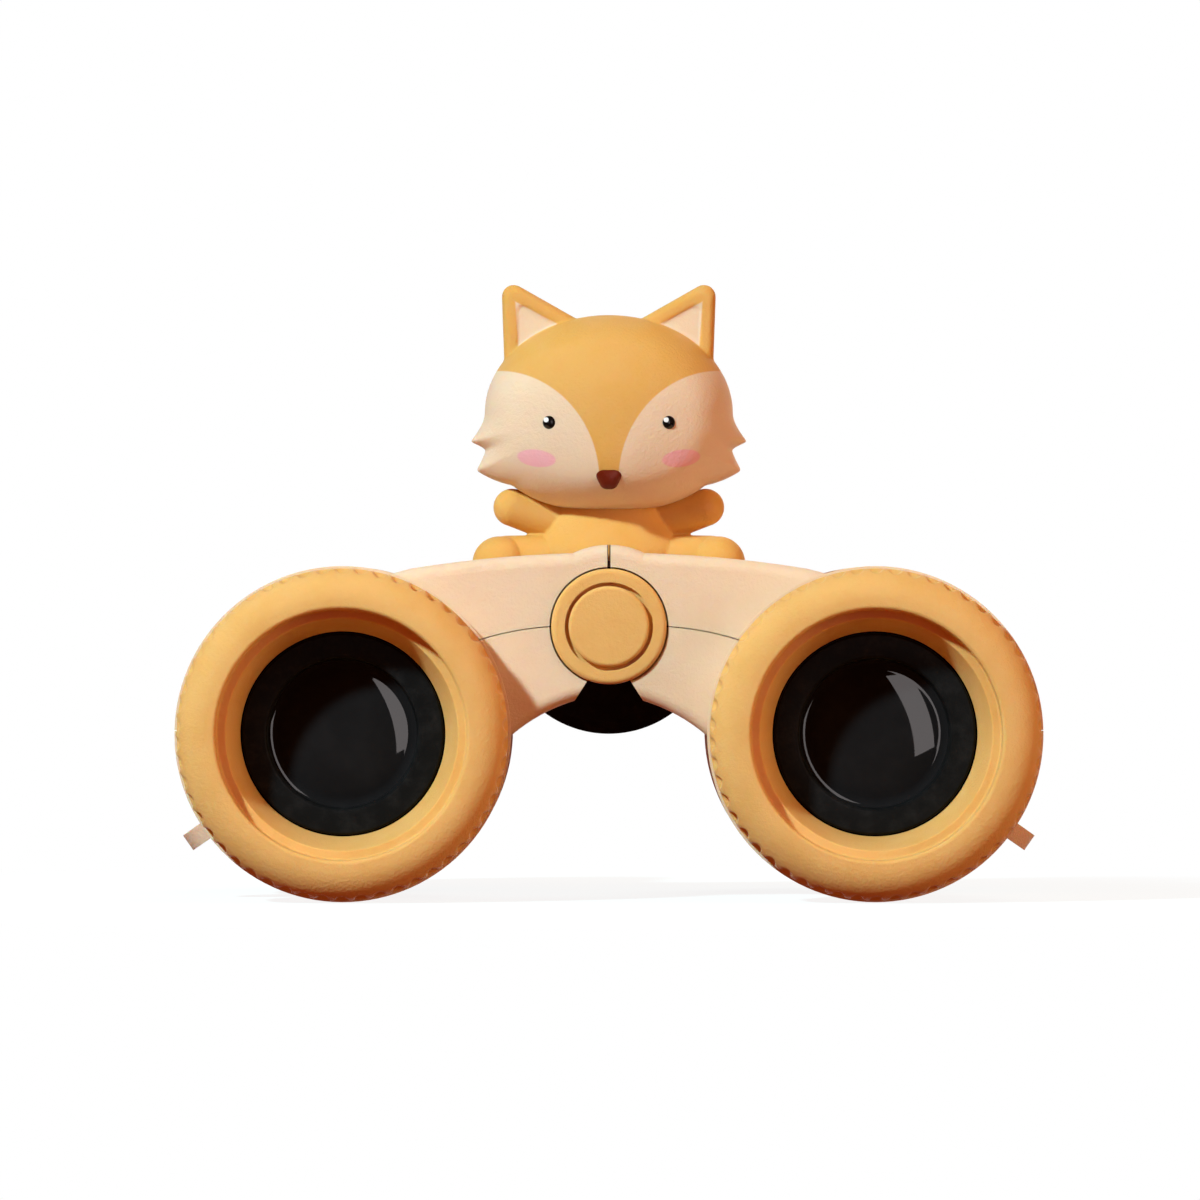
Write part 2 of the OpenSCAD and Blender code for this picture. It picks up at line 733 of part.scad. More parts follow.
// One eye: a domed button on a round root
module eye() {
  dome_curve = (eye_size ^ 2 + eye_dome ^ 2) / (2 * eye_dome);
  turn_y() intersection() {
    translate([0, dome_curve - eye_dome]) circle(dome_curve);
    ring_profile(0, eye_size, -eye_dome, 0.1);
  }
  bar_y(eye_size, 0, eye_root);
}

// Hole in the chin for the body's neck peg
module neck_hole(gap) {
  translate([0, fox_y, head_z - head_h - 1]) cylinder(r = neck_peg_r + gap, h = neck_hole_len, $fn = 24);
}

// Head with ears, and with seats for the eyes, the nose and the neck peg
module head_form() {
  difference() {
    head_skin();
    at_eyes() bar_y(eye_size + seat_gap, -1, eye_root + seat_gap);
    nose_form(seat_gap);
    neck_hole(seat_gap);
  }
  for (side = [0, 1]) mirror([side, 0, 0]) ear();
}

module fox_head() color(orange) at_hinge() head_form();
module fox_eyes() color(black) at_hinge() at_eyes() eye();
module fox_nose() color(brown) at_hinge() nose_form(0);

// An egg on the fox's middle line
module body_blob(size, z) translate([0, fox_y, z]) scale(size) sphere(1, $fn = 32);

// A tapered round limb between two places counted from the middle of the fox
module limb(from, to, r0, r1) translate([0, fox_y, 0]) hull() {
  translate(from) sphere(r0, $fn = 20);
  translate(to) sphere(r1, $fn = 20);
}

module limbs() {
  limb(shoulder, hand, shoulder_size, hand_size);
  limb(hip, ankle, leg_size, leg_size);
  limb(toe, heel, foot_size, foot_size);
}

// Seated body with raised arms and spread legs, trimmed under the chin and hollowed for the saddle
module body_form() difference() {
  union() {
    hull() {
      body_blob(chest, chest_z);
      body_blob(seat, seat_z);
    }
    for (side = [0, 1]) mirror([side, 0, 0]) limbs();
    translate([0, fox_y, neck_z]) cylinder(r = neck_peg_r, h = neck_peg_len, $fn = 24);
  }
  translate([0, 0, -seat_gap]) difference() {
    head_skin();
    neck_hole(0);
  }
  translate([-saddle_w / 2 - seat_gap, front_y1, -1])
    cube([saddle_w + 2 * seat_gap, saddle_gap, saddle_top + seat_gap + 1]);
  bar_y(spine_r + seat_gap, front_y1, rear_y0);
}

module fox_body() color(orange) at_hinge() body_form();

// Focus drive

module focus_wheel() {
  bevel = 1.3;
  cutter_r = 0.9;
  color(black) at_hinge() difference() {
    turn_y() polygon([
      [0, wheel_y0], [wheel_r - bevel, wheel_y0], [wheel_r, wheel_y0 + bevel],
      [wheel_r, wheel_y1 - bevel], [wheel_r - bevel, wheel_y1], [0, wheel_y1]
    ]);
    bar_y(axle_r + running, wheel_y0 - 1, flange_y0);
    bar_y(flange_r + moving_gap, flange_y0 - moving_gap, nut_y0);
    bar_y(nut_r + seat_gap, nut_y0 - seat_gap, wheel_y1 + 1);
    for (i = [0 : wheel_grooves - 1]) rotate([0, i * 360 / wheel_grooves, 0])
      translate([wheel_r + cutter_r - 0.4, 0, 0]) bar_y(cutter_r, wheel_y0 + 1.6, wheel_y1 - 1.6);
  }
}

module focus_nut() color(brass) at_hinge() turn_y()
  ring_profile(screw_r + running, nut_r, nut_y0, wheel_y1);

module focus_screw() color(steel) at_hinge() {
  bar_y(screw_r, screw_y0, focus_y0);
  bar_y(eye_r - 1.4, focus_y0 - 0.9, focus_y0 - 0.1);
  bar_y(journal_r, focus_y0 - 0.5, focus_y1 + 0.05);
  bar_y(screw_tail_r, focus_y1 - 0.5, screw_tail_y1);
}

module screw_end_cap() color(black) at_hinge() difference() {
  turn_y() {
    ring_profile(0, eye_r - 1, end_cap_y0, end_cap_y0 + 1.5);
    intersection() {
      translate([0, end_cap_y0]) circle(eye_r - 0.7);
      ring_profile(0, eye_r - 1, end_cap_y0, end_cap_y0 + 6);
    }
  }
  bar_y(screw_tail_r + seat_gap, end_cap_y0 - 1, screw_tail_y1 + 0.1);
}

// Arm from the focus screw to one eyepiece tube; the two eyes lap over each other
module focus_arm(eye_y0, eye_y1, other_y0, other_y1) {
  hold_r = tube_r + arm_hold;
  difference() {
    union() {
      at_barrel() bar_y(hold_r, focus_y0, focus_y1);
      rotate([0, open_angle, 0]) translate([eye_r, focus_y0, -arm_h / 2])
        cube([hinge_to_barrel - tube_r - eye_r, arm_t, arm_h]);
      rotate([0, open_angle, 0]) translate([0, eye_y0, -arm_h / 2])
        cube([eye_r + 1, eye_y1 - eye_y0, arm_h]);
      bar_y(eye_r, eye_y0, eye_y1);
    }
    at_barrel() bar_y(tube_r + seat_gap, focus_y0 - 1, focus_y1 + 1);
    bar_y(journal_r + running, focus_y0 - 1, focus_y1 + 1);
    bar_y(eye_r + moving_gap, other_y0, other_y1);
  }
}

module left_focus_arm() color(black) on_side(-1)
  focus_arm(focus_y0, focus_mid - axial_gap / 2, focus_mid - axial_gap / 2, focus_y1 + 1);
module right_focus_arm() color(black) on_side(1)
  focus_arm(focus_mid + axial_gap / 2, focus_y1, focus_y0 - 1, focus_mid + axial_gap / 2);

// Eyepieces

module eyepiece_tube() {
  front_y = guide_y0 - 5.5;
  stop_r = ocular_r - 1.8;
  turn_y() polygon([
    [ocular_r + seat_gap, front_y], [tube_r, front_y], [tube_r, tube_y1],
    [ocular_r + seat_gap, tube_y1], [ocular_r + seat_gap, ocular_y0 - seat_gap],
    [stop_r, ocular_y0 - seat_gap], [stop_r, ocular_y0 - 1], [ocular_r + seat_gap, ocular_y0 - 2.8]
  ]);
}

// Diverging lens: flat behind, hollow in front
module ocular_lens() {
  hollow = 34;
  difference() {
    bar_y(ocular_r, ocular_y0, ocular_y1);
    translate([0, ocular_y0 - sqrt(hollow ^ 2 - (ocular_r - 2) ^ 2), 0]) rotate([-90, 0, 0]) sphere(hollow);
  }
}

module ocular_retainer() turn_y() polygon([
  [ocular_r - 1.4, ocular_y1 + seat_gap], [ocular_r, ocular_y1 + seat_gap],
  [ocular_r, tube_y1], [ocular_r - 0.9, tube_y1]
]);

// Soft cup that flares back to a round rim
module eyecup() {
  rim_r = 1.1;
  lip_y1 = tube_y1 + 1.1;
  turn_y() {
    polygon([
      [tube_r + seat_gap, eyecup_y0], [tube_r + 1.5, eyecup_y0], [eyecup_r, eyecup_y1 - rim_r],
      [eyecup_r - 2 * rim_r, eyecup_y1 - rim_r], [tube_r - 1.3, lip_y1], [ocular_r - 0.2, lip_y1],
      [ocular_r - 0.2, tube_y1 + seat_gap], [tube_r + seat_gap, tube_y1 + seat_gap]
    ]);
    translate([eyecup_r - rim_r, eyecup_y1 - rim_r]) circle(rim_r);
  }
}

module left_eyepiece_tube() color(black) on_side(-1) at_barrel() eyepiece_tube();
module right_eyepiece_tube() color(black) on_side(1) at_barrel() eyepiece_tube();
module left_ocular_lens() color(glass) on_side(-1) at_barrel() ocular_lens();
module right_ocular_lens() color(glass) on_side(1) at_barrel() ocular_lens();
module left_ocular_retainer() color(black) on_side(-1) at_barrel() ocular_retainer();
module right_ocular_retainer() color(black) on_side(1) at_barrel() ocular_retainer();
module left_eyecup() color(black) on_side(-1) at_barrel() eyecup();
module right_eyecup() color(black) on_side(1) at_barrel() eyecup();

left_upper_shell();
right_upper_shell();
left_lower_shell();
right_lower_shell();
left_shell_screws();
right_shell_screws();
left_objective_ring();
right_objective_ring();
left_retaining_ring();
right_retaining_ring();
left_objective_lens();
right_objective_lens();
left_lens_tube();
right_lens_tube();
hinge_axle();
hinge_screw();
spring_washer();
hinge_cap();
cap_cover();
hinge_spine();
thrust_washer();
fox_body();
fox_head();
fox_eyes();
fox_nose();
focus_wheel();
focus_nut();
focus_screw();
screw_end_cap();
left_focus_arm();
right_focus_arm();
left_eyepiece_tube();
right_eyepiece_tube();
left_ocular_lens();
right_ocular_lens();
left_ocular_retainer();
right_ocular_retainer();
left_eyecup();
right_eyecup();
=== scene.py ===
"""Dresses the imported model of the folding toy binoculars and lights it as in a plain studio.

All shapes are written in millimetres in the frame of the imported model: X to the right as seen from
the objective side, Y from the objective rings to the eyecups, Z up from the floor.
"""

import logging
import math
from dataclasses import dataclass
from enum import Enum
from typing import Any, Callable, Sequence

import bpy
import numpy as np
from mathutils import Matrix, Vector


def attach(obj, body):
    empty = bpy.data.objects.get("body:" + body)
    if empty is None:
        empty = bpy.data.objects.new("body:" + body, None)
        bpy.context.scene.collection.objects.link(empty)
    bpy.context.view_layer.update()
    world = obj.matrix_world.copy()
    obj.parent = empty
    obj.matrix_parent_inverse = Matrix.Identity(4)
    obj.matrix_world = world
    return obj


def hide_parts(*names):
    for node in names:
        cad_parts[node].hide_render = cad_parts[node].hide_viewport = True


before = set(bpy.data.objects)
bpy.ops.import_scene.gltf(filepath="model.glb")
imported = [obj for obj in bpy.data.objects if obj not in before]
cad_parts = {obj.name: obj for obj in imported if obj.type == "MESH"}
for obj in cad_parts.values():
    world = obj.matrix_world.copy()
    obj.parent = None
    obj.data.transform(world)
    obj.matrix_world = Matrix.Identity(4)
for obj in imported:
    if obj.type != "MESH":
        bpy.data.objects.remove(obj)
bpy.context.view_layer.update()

LOG = logging.getLogger("toy_binoculars")
MM = 0.001
CREASE = 40.0
ROUND_ROWS = 24
Array = np.ndarray
Colour = tuple[float, float, float]
Point = tuple[float, float, float]


class Side(Enum):
    """The two halves, with the sign of their X."""

    LEFT = -1
    RIGHT = 1

    @property
    def word(self) -> str:
        """The side's name as it stands in the node names."""
        return self.name.lower()


def linear(red: int, green: int, blue: int) -> Colour:
    """Turns an sRGB colour of 0 to 255 into linear light.

    Args:
        red: Red of 0 to 255.
        green: Green of 0 to 255.
        blue: Blue of 0 to 255.

    Returns:
        The colour in linear light.
    """
    channels = np.array([red, green, blue]) / 255.0
    light = np.where(channels <= 0.04045, channels / 12.92, ((channels + 0.055) / 1.055) ** 2.4)
    return float(light[0]), float(light[1]), float(light[2])


# Surfaces


def rounded(corners: Sequence[tuple[float, ...]], steps: int = 6, closed: bool = True) -> Array:
    """Rounds the corners of an outline.

    At a corner with fillet radius r and turn t, the arc starts r * tan(t / 2) before the corner and
    ends as far after it; its points are the corner's circle sampled at equal angles.

    Args:
        corners: Points (a, b) or (a, b, radius).
        steps: Number of segments of each arc.
        closed: Whether the last corner joins the first.

    Returns:
        The points of the rounded outline, one per row.
    """
    places = np.array([corner[:2] for corner in corners], dtype=float)
    radii = [corner[2] if len(corner) > 2 else 0.0 for corner in corners]
    outline = []
    for index, place in enumerate(places):
        ends_open = not closed and index in (0, len(places) - 1)
        if radii[index] == 0.0 or ends_open:
            outline.append(place[None, :])
            continue
        before = places[index - 1] - place
        after = places[(index + 1) % len(places)] - place
        before /= np.linalg.norm(before)
        after /= np.linalg.norm(after)
        half = math.acos(float(np.clip(before @ after, -1.0, 1.0))) / 2
        middle = (before + after) / np.linalg.norm(before + after)
        centre = place + middle * radii[index] / math.sin(half)
        start = place + before * radii[index] / math.tan(half) - centre
        stop = place + after * radii[index] / math.tan(half) - centre
        turn = math.atan2(start[0] * stop[1] - start[1] * stop[0], float(start @ stop))
        angles = np.linspace(0.0, turn, steps + 1)
        cosines, sines = np.cos(angles), np.sin(angles)
        arc = np.stack([start[0] * cosines - start[1] * sines, start[0] * sines + start[1] * cosines], 1)
        outline.append(centre + arc)
    return np.concatenate(outline)


@dataclass
class Skin:
    """A closed surface in millimetres, as points and four-cornered faces."""

    points: Array
    quads: Array

    @classmethod
    def grid(cls, points: Array, loop_rows: bool = False) -> "Skin":
        """Makes a surface of a grid of points whose last column joins the first.

        Args:
            points: Array of rows by columns by three.
            loop_rows: Whether the last row joins the first.

        Returns:
            The surface.
        """
        rows, columns = points.shape[:2]
        index = np.arange(rows * columns).reshape(rows, columns)
        if loop_rows:
            index = np.concatenate([index, index[:1]], 0)
        index = np.concatenate([index, index[:, :1]], 1)
        corners = (index[:-1, :-1], index[:-1, 1:], index[1:, 1:], index[1:, :-1])
        return cls(points.reshape(-1, 3), np.stack(corners, -1).reshape(-1, 4))

    @classmethod
    def sheet(cls, x: Array, y: Array, z: Array) -> "Skin":
        """A surface of grids of X, Y and Z, closed round its columns, with its faces outwards."""
        return cls.grid(np.stack(np.broadcast_arrays(x, y, z), -1)).outward()

    def __add__(self, other: "Skin") -> "Skin":
        """Both surfaces as one."""
        quads = np.concatenate([self.quads, other.quads + len(self.points)])
        return Skin(np.concatenate([self.points, other.points]), quads)

    def moved(self, x: float = 0.0, y: float = 0.0, z: float = 0.0) -> "Skin":
        """The surface at another place."""
        return Skin(self.points + np.array([x, y, z]), self.quads)

    def mirrored(self) -> "Skin":
        """The mirror image in X, with its faces turned back outwards."""
        return Skin(self.points * np.array([-1.0, 1.0, 1.0]), self.quads[:, ::-1])

    def volume(self) -> float:
        """Signed volume, from the tetrahedra that each face spans with the origin."""
        a, b, c, d = (self.points[self.quads[:, corner]] for corner in range(4))
        halves = np.einsum("ij,ij->i", a, np.cross(b, c)) + np.einsum("ij,ij->i", a, np.cross(c, d))
        return float(halves.sum()) / 6

    def outward(self) -> "Skin":
        """The surface with its faces pointing outwards."""
        return self if self.volume() > 0 else Skin(self.points, self.quads[:, ::-1])

    def mesh(self, name: str) -> bpy.types.Mesh:
        """Makes a smooth mesh in metres, with coincident points welded and sharp edges kept.

        Args:
            name: Name of the mesh.

        Returns:
            The mesh.
        """
        welded, index = np.unique(np.round(self.points, 5), axis=0, return_inverse=True)
        quads = index.reshape(-1)[self.quads]
        same_as_next = quads == np.roll(quads, -1, axis=1)
        plain = quads[~same_as_next.any(1)]
        pinched = [quad[~same] for quad, same in zip(quads, same_as_next) if same.sum() == 1]
        faces = plain.tolist() + [triangle.tolist() for triangle in pinched]
        mesh = bpy.data.meshes.new(name)
        mesh.from_pydata((welded * MM).tolist(), [], faces)
        mesh.shade_smooth()
        mesh.set_sharp_from_angle(angle=math.radians(CREASE))
        return mesh


def turned(profile: Array, segments: int, loop: bool, radius: Callable | None = None) -> Skin:
    """Turns a profile about the Y axis.

    A point (r, y) of the profile goes round as (r cos a, y, r sin a); radius may change r by angle.

    Args:
        profile: Points (r, y), one per row.
        segments: Number of steps round the axis.
        loop: Whether the profile is a closed loop, as of a ring.
        radius: Function of (r, y, a) that gives the radius at an angle.

    Returns:
        The surface.
    """
    angle = np.linspace(0.0, 2 * math.pi, segments, endpoint=False)[None, :]
    r = np.repeat(profile[:, :1], segments, 1)
    y = np.repeat(profile[:, 1:], segments, 1)
    if radius is not None:
        r = radius(r, y, np.repeat(angle, len(profile), 0))
    points = np.stack([r * np.cos(angle), y, r * np.sin(angle)], -1)
    return Skin.grid(points, loop_rows=loop).outward()


def smooth_step(value: Array, low: float, high: float) -> Array:
    """Eases from 0 at low to 1 at high as t * t * (3 - 2 t)."""
    t = np.clip((value - low) / (high - low), 0.0, 1.0)
    return t * t * (3 - 2 * t)


def out_and_back(share: Array) -> tuple[Array, Array]:
    """The shares from the middle out and back again, and which of them are on the way out."""
    out = np.concatenate([share, share[::-1][1:]])[:, None]
    return out, (np.arange(len(out)) < len(share))[:, None]


def capsule(start: Point, end: Point, start_r: float, end_r: float) -> Skin:
    """A limb with round ends: circles of radius r cos p, carried along the line by r sin p.

    The angle p runs from -90 to 90 degrees; below zero the circle belongs to the start.

    Args:
        start: Centre of the first end.
        end: Centre of the other end.
        start_r: Radius of the first end.
        end_r: Radius of the other end.

    Returns:
        The surface.
    """
    first, last = np.array(start), np.array(end)
    along = (last - first) / np.linalg.norm(last - first)
    across = np.cross(along, [0.0, 0.0, 1.0])
    across /= np.linalg.norm(across)
    upright = np.cross(across, along)
    quarter = np.linspace(0.0, math.pi / 2, ROUND_ROWS)
    pitch = np.concatenate([quarter - math.pi / 2, quarter])
    at_end = (np.arange(2 * ROUND_ROWS) >= ROUND_ROWS)[:, None]
    size = np.where(at_end[:, 0], end_r, start_r)
    centre = np.where(at_end, last, first) + (size * np.sin(pitch))[:, None] * along
    turn = np.linspace(0.0, 2 * math.pi, 4 * ROUND_ROWS, endpoint=False)
    circle = np.cos(turn)[:, None] * across + np.sin(turn)[:, None] * upright
    points = centre[:, None, :] + (size * np.cos(pitch))[:, None, None] * circle[None, :, :]
    return Skin.grid(points).outward()


def add_piece(name: str, mesh: bpy.types.Mesh, body: str, stands_for: str) -> None:
    """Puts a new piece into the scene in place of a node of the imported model.

    Args:
        name: Name of the piece.
        mesh: Its mesh, in metres.
        body: Moving body that carries it.
        stands_for: Node that the piece replaces.
    """
    piece = bpy.data.objects.new(name, mesh)
    bpy.context.scene.collection.objects.link(piece)
    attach(piece, body)
    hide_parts(stands_for)
    LOG.info("%s: %d faces", name, len(mesh.polygons))


def fused(mesh: bpy.types.Mesh, voxel: float, rounds: int) -> bpy.types.Mesh:
    """Makes one skin of several closed surfaces and softens the creases between them.

    Args:
        mesh: Overlapping closed surfaces.
        voxel: Size of the remeshing cells in millimetres.
        rounds: Rounds of smoothing.

    Returns:
        The new mesh.
    """
    body = bpy.data.objects.new(mesh.name, mesh)
    bpy.context.scene.collection.objects.link(body)
    remesh = body.modifiers.new("one_skin", "REMESH")
    remesh.mode = "VOXEL"
    remesh.voxel_size = voxel * MM
    remesh.use_smooth_shade = True
    soften = body.modifiers.new("soften", "SMOOTH")
    soften.factor = 0.5
    soften.iterations = rounds
    graph = bpy.context.evaluated_depsgraph_get()
    skin = bpy.data.meshes.new_from_object(body.evaluated_get(graph))
    bpy.data.objects.remove(body)
    bpy.data.meshes.remove(mesh)
    skin.shade_smooth()
    return skin


# Shader graphs


class Socket:
    """An output of a shader node that takes part in Python expressions."""

    def __init__(self, graph: "Graph", socket: bpy.types.NodeSocket) -> None:
        """Keeps the socket and the graph that it belongs to."""
        self.graph = graph
        self.socket = socket

    def math(self, operation: str, *others: Any) -> "Socket":
        """One Math node with this value first."""
        inputs = {index: value for index, value in enumerate((self, *others))}
        return self.graph.node("ShaderNodeMath", {"operation": operation}, inputs)

    def __add__(self, other: Any) -> "Socket":
        """Sum."""
        return self.math("ADD", other)

    def __sub__(self, other: Any) -> "Socket":
        """Difference."""
        return self.math("SUBTRACT", other)

    def __mul__(self, other: Any) -> "Socket":
        """Product."""
        return self.math("MULTIPLY", other)

    def __truediv__(self, other: Any) -> "Socket":
        """Quotient."""
        return self.math("DIVIDE", other)

    def __pow__(self, other: Any) -> "Socket":
        """Power."""
        return self.math("POWER", other)

    def __abs__(self) -> "Socket":
        """Size without sign."""
        return self.math("ABSOLUTE")

    def __rsub__(self, other: float) -> "Socket":
        """A number less this value."""
        return self.math("MULTIPLY", -1.0) + other

    def at_least(self, other: Any) -> "Socket":
        """The larger of two values."""
        return self.math("MAXIMUM", other)

    def at_most(self, other: Any) -> "Socket":
        """The smaller of two values."""
        return self.math("MINIMUM", other)

    def step(self, low: float, high: float) -> "Socket":
        """Eases from 0 at low to 1 at high; high below low turns it round."""
        settings = {"interpolation_type": "SMOOTHSTEP", "clamp": True}
        flip = high < low
        sockets = {
            "Value": self,
            "From Min": min(low, high),
            "From Max": max(low, high),
            "To Min": 1.0 if flip else 0.0,
            "To Max": 0.0 if flip else 1.0,
        }
        return self.graph.node("ShaderNodeMapRange", settings, sockets)


class Graph:
    """The node tree of one material."""

    def __init__(self, name: str) -> None:
        """Starts a material with an empty tree.

        Args:
            name: Name of the material.
        """
        self.material = bpy.data.materials.new(name)
        self.material.use_nodes = True
        self.tree = self.material.node_tree
        self.tree.nodes.clear()

    @classmethod
    def over(cls, tree: bpy.types.NodeTree) -> "Graph":
        """A graph over a tree that is there already, such as the world's.

        Args:
            tree: The node tree.

        Returns:
            The graph.
        """
        graph = cls.__new__(cls)
        graph.tree = tree
        return graph

    def node(self, kind: str, settings: dict[str, Any], sockets: dict, output: Any = 0) -> Socket:
        """Adds one node: its settings first, then the values and links of its sockets.

        Args:
            kind: Type of the node.
            settings: Properties of the node.
            sockets: Values or links by socket name or number.
            output: Name or number of the output to return.

        Returns:
            The chosen output.
        """
        made = self.tree.nodes.new(kind)
        for name, value in settings.items():
            setattr(made, name, value)
        for name, value in sockets.items():
            if isinstance(value, Socket):
                self.tree.links.new(value.socket, made.inputs[name])
            else:
                made.inputs[name].default_value = value
        return Socket(self, made.outputs[output])

    def place(self) -> tuple[Socket, Socket, Socket]:
        """X, Y and Z of the surface point, in millimetres of the model's frame."""
        point = self.point()
        parts = self.node("ShaderNodeSeparateXYZ", {}, {0: point})
        axes = [Socket(self, output) for output in parts.socket.node.outputs]
        return axes[0] / MM, axes[1] / MM, axes[2] / MM

    def point(self) -> Socket:
        """The surface point as a vector in metres."""
        return self.node("ShaderNodeTexCoord", {}, {}, "Object")

    def noise(self, size: float, detail: float = 2.0, roughness: float = 0.5) -> Socket:
        """Soft noise with features of about the given size in millimetres."""
        sockets = {
            "Vector": self.point(),
            "Scale": 1.0 / (size * MM),
            "Detail": detail,
            "Roughness": roughness,
        }
        return self.node("ShaderNodeTexNoise", {}, sockets, "Fac")

    def blend(self, factor: Any, first: Any, second: Any) -> Socket:
        """Mixes two colours."""
        sockets = {0: factor, 6: self.colour(first), 7: self.colour(second)}
        return self.node("ShaderNodeMix", {"data_type": "RGBA"}, sockets, 2)

    @staticmethod
    def colour(value: Any) -> Any:
        """A colour with its alpha, or the link as it is."""
        return value if isinstance(value, Socket) else (*value, 1.0)

    def bump(self, height: Socket, depth: float) -> Socket:
        """A bump of a depth in millimetres."""
        return self.node("ShaderNodeBump", {}, {"Strength": 1.0, "Distance": depth * MM, "Height": height})

    def rays(self, behind: Socket) -> tuple[Socket, Socket]:
        """Sorts the rays that reach the background.

        Args:
            behind: 1 where the background lies behind the toy.

        Returns:
            1 for rays that show it white, and 1 for mirrored or bent rays.
        """
        path = self.node("ShaderNodeLightPath", {}, {}, "Is Camera Ray")
        outputs = path.socket.node.outputs
        through = Socket(self, outputs["Is Transmission Ray"])
        bent = Socket(self, outputs["Is Glossy Ray"]).at_least(through)
        return path.at_least(bent * behind), bent

    def finish(self, sockets: dict) -> bpy.types.Material:
        """Ends the tree with one Principled shader.

        Args:
            sockets: Values or links of the shader.

        Returns:
            The material.
        """
        shader = self.node("ShaderNodeBsdfPrincipled", {}, sockets)
        self.node_output(shader)
        return self.material

    def node_output(self, shader: Socket) -> None:
        """Links a shader to the surface of the material."""
        output = self.tree.nodes.new("ShaderNodeOutputMaterial")
        self.tree.links.new(shader.socket, output.inputs["Surface"])


# Finishes

ORANGE = linear(235, 183, 110)
ORANGE_SHADE = linear(230, 175, 100)
CREAM = linear(238, 209, 178)
CREAM_SHADE = linear(235, 204, 171)
FOX = linear(228, 174, 98)
FOX_SHADE = linear(226, 170, 86)
PINK = linear(246, 176, 188)
NOSE = linear(118, 34, 14)
NOSE_SHADE = linear(104, 28, 10)
WHITE = (1.0, 1.0, 1.0, 1.0)


@dataclass(frozen=True)
class MouldedPlastic:
    """Matt moulded plastic: spark-eroded grain, faint mottling and uneven gloss."""

    name: str
    colour: Colour
    shade: Colour
    roughness: float = 0.5
    grain: float = 0.42
    grain_depth: float = 0.075
    scatter: float = 0.3

    def grained(self, graph: Graph) -> Socket:
        """Normal of the grain: two sizes of noise, the finer one half as strong."""
        height = graph.noise(self.grain, 3.0) + graph.noise(self.grain * 0.4, 2.0) * 0.5
        return graph.bump(height, self.grain_depth)

    def mottled(self, graph: Graph) -> Socket:
        """The colour of the bare plastic, mottled softly with its shade."""
        mottle = graph.noise(6.0, 4.0, 0.6).step(0.35, 0.75)
        return graph.blend(mottle, self.colour, self.shade)

    def sockets(self, graph: Graph, colour: Socket) -> dict:
        """Shader values that all moulded finishes share.

        Args:
            graph: Graph of the material.
            colour: Colour of the surface.

        Returns:
            Values and links by socket name.
        """
        gloss = graph.noise(3.0, 4.0) * 0.14 + (self.roughness - 0.07)
        return {
            "Base Color": colour,
            "Roughness": gloss,
            "Normal": self.grained(graph),
            "Specular IOR Level": 0.35,
            "Subsurface Weight": self.scatter,
            "Subsurface Radius": (1.0, 0.32, 0.12),
            "Subsurface Scale": 0.0018,
        }

    def material(self) -> bpy.types.Material:
        """The finish as a material."""
        graph = Graph(self.name)
        return graph.finish(self.sockets(graph, self.mottled(graph)))


@dataclass(frozen=True)
class ShellPlastic(MouldedPlastic):
    """The shells' plastic, with a dark line of painted shade where the two halves meet over the hinge."""

    # Colour of the painted shade in the seam over the hinge.
    seam_shade_colour: Colour = (0.03, 0.012, 0.006)
    seam_w: float = 0.24
    hump_z: float = 39.5

    def material(self) -> bpy.types.Material:
        """The finish as a material."""
        graph = Graph(self.name)
        x, _, z = graph.place()
        # Painted shade: darkens a thin band along x = 0 on the hump, where the gap between the halves lies
        # in shadow.
        seam_shade = abs(x).step(self.seam_w, self.seam_w * 0.6) * z.step(self.hump_z - 1.0, self.hump_z)
        colour = graph.blend(seam_shade, self.mottled(graph), self.seam_shade_colour)
        return graph.finish(self.sockets(graph, colour))


@dataclass(frozen=True)
class BlackPlastic:
    """Black plastic with a moulded grain and a dusty bloom."""

    name: str
    colour: Colour = (0.0074, 0.0075, 0.0076)
    dust: Colour = (0.0165, 0.016, 0.016)
    roughness: float = 0.42
    grain: float = 0.4
    grain_depth: float = 0.03
    gloss: float = 0.07

    def material(self) -> bpy.types.Material:
        """The finish as a material."""
        graph = Graph(self.name)
        bloom = graph.noise(2.2, 5.0, 0.65).step(0.4, 0.8)
        height = graph.noise(self.grain, 3.0)
        sockets = {
            "Base Color": graph.blend(bloom, self.colour, self.dust),
            "Roughness": graph.noise(1.4, 4.0) * 0.2 + (self.roughness - 0.1),
            "Normal": graph.bump(height, self.grain_depth),
            "Specular IOR Level": self.gloss,
        }
        return graph.finish(sockets)


@dataclass(frozen=True)
class CoatedGlass:
    """A lens in front of a dark tube: a polished face with a faint haze of wiping marks."""

    name: str
    colour: Colour = (0.011, 0.0105, 0.0108)
    haze: Colour = (0.015, 0.0142, 0.0146)

    def material(self) -> bpy.types.Material:
        """The finish as a material."""
        graph = Graph(self.name)
        wiped = graph.noise(7.0, 5.0, 0.6).step(0.35, 0.75)
        sockets = {
            "Base Color": graph.blend(wiped, self.colour, self.haze),
            "Roughness": wiped * 0.03 + 0.02,
            "Specular IOR Level": 0.25,
        }
        return graph.finish(sockets)


@dataclass(frozen=True)
class TurnedMetal:
    """Turned metal with a faint smear and fine tool marks."""

    name: str
    colour: Colour
    roughness: float = 0.34

    def material(self) -> bpy.types.Material:
        """The finish as a material."""
        graph = Graph(self.name)
        smear = graph.noise(1.2, 4.0)
        sockets = {
            "Base Color": graph.blend(smear, self.colour, tuple(0.8 * part for part in self.colour)),
            "Metallic": 1.0,
            "Roughness": smear * 0.16 + (self.roughness - 0.08),
            "Normal": graph.bump(graph.noise(0.12, 2.0), 0.01),
        }
        return graph.finish(sockets)


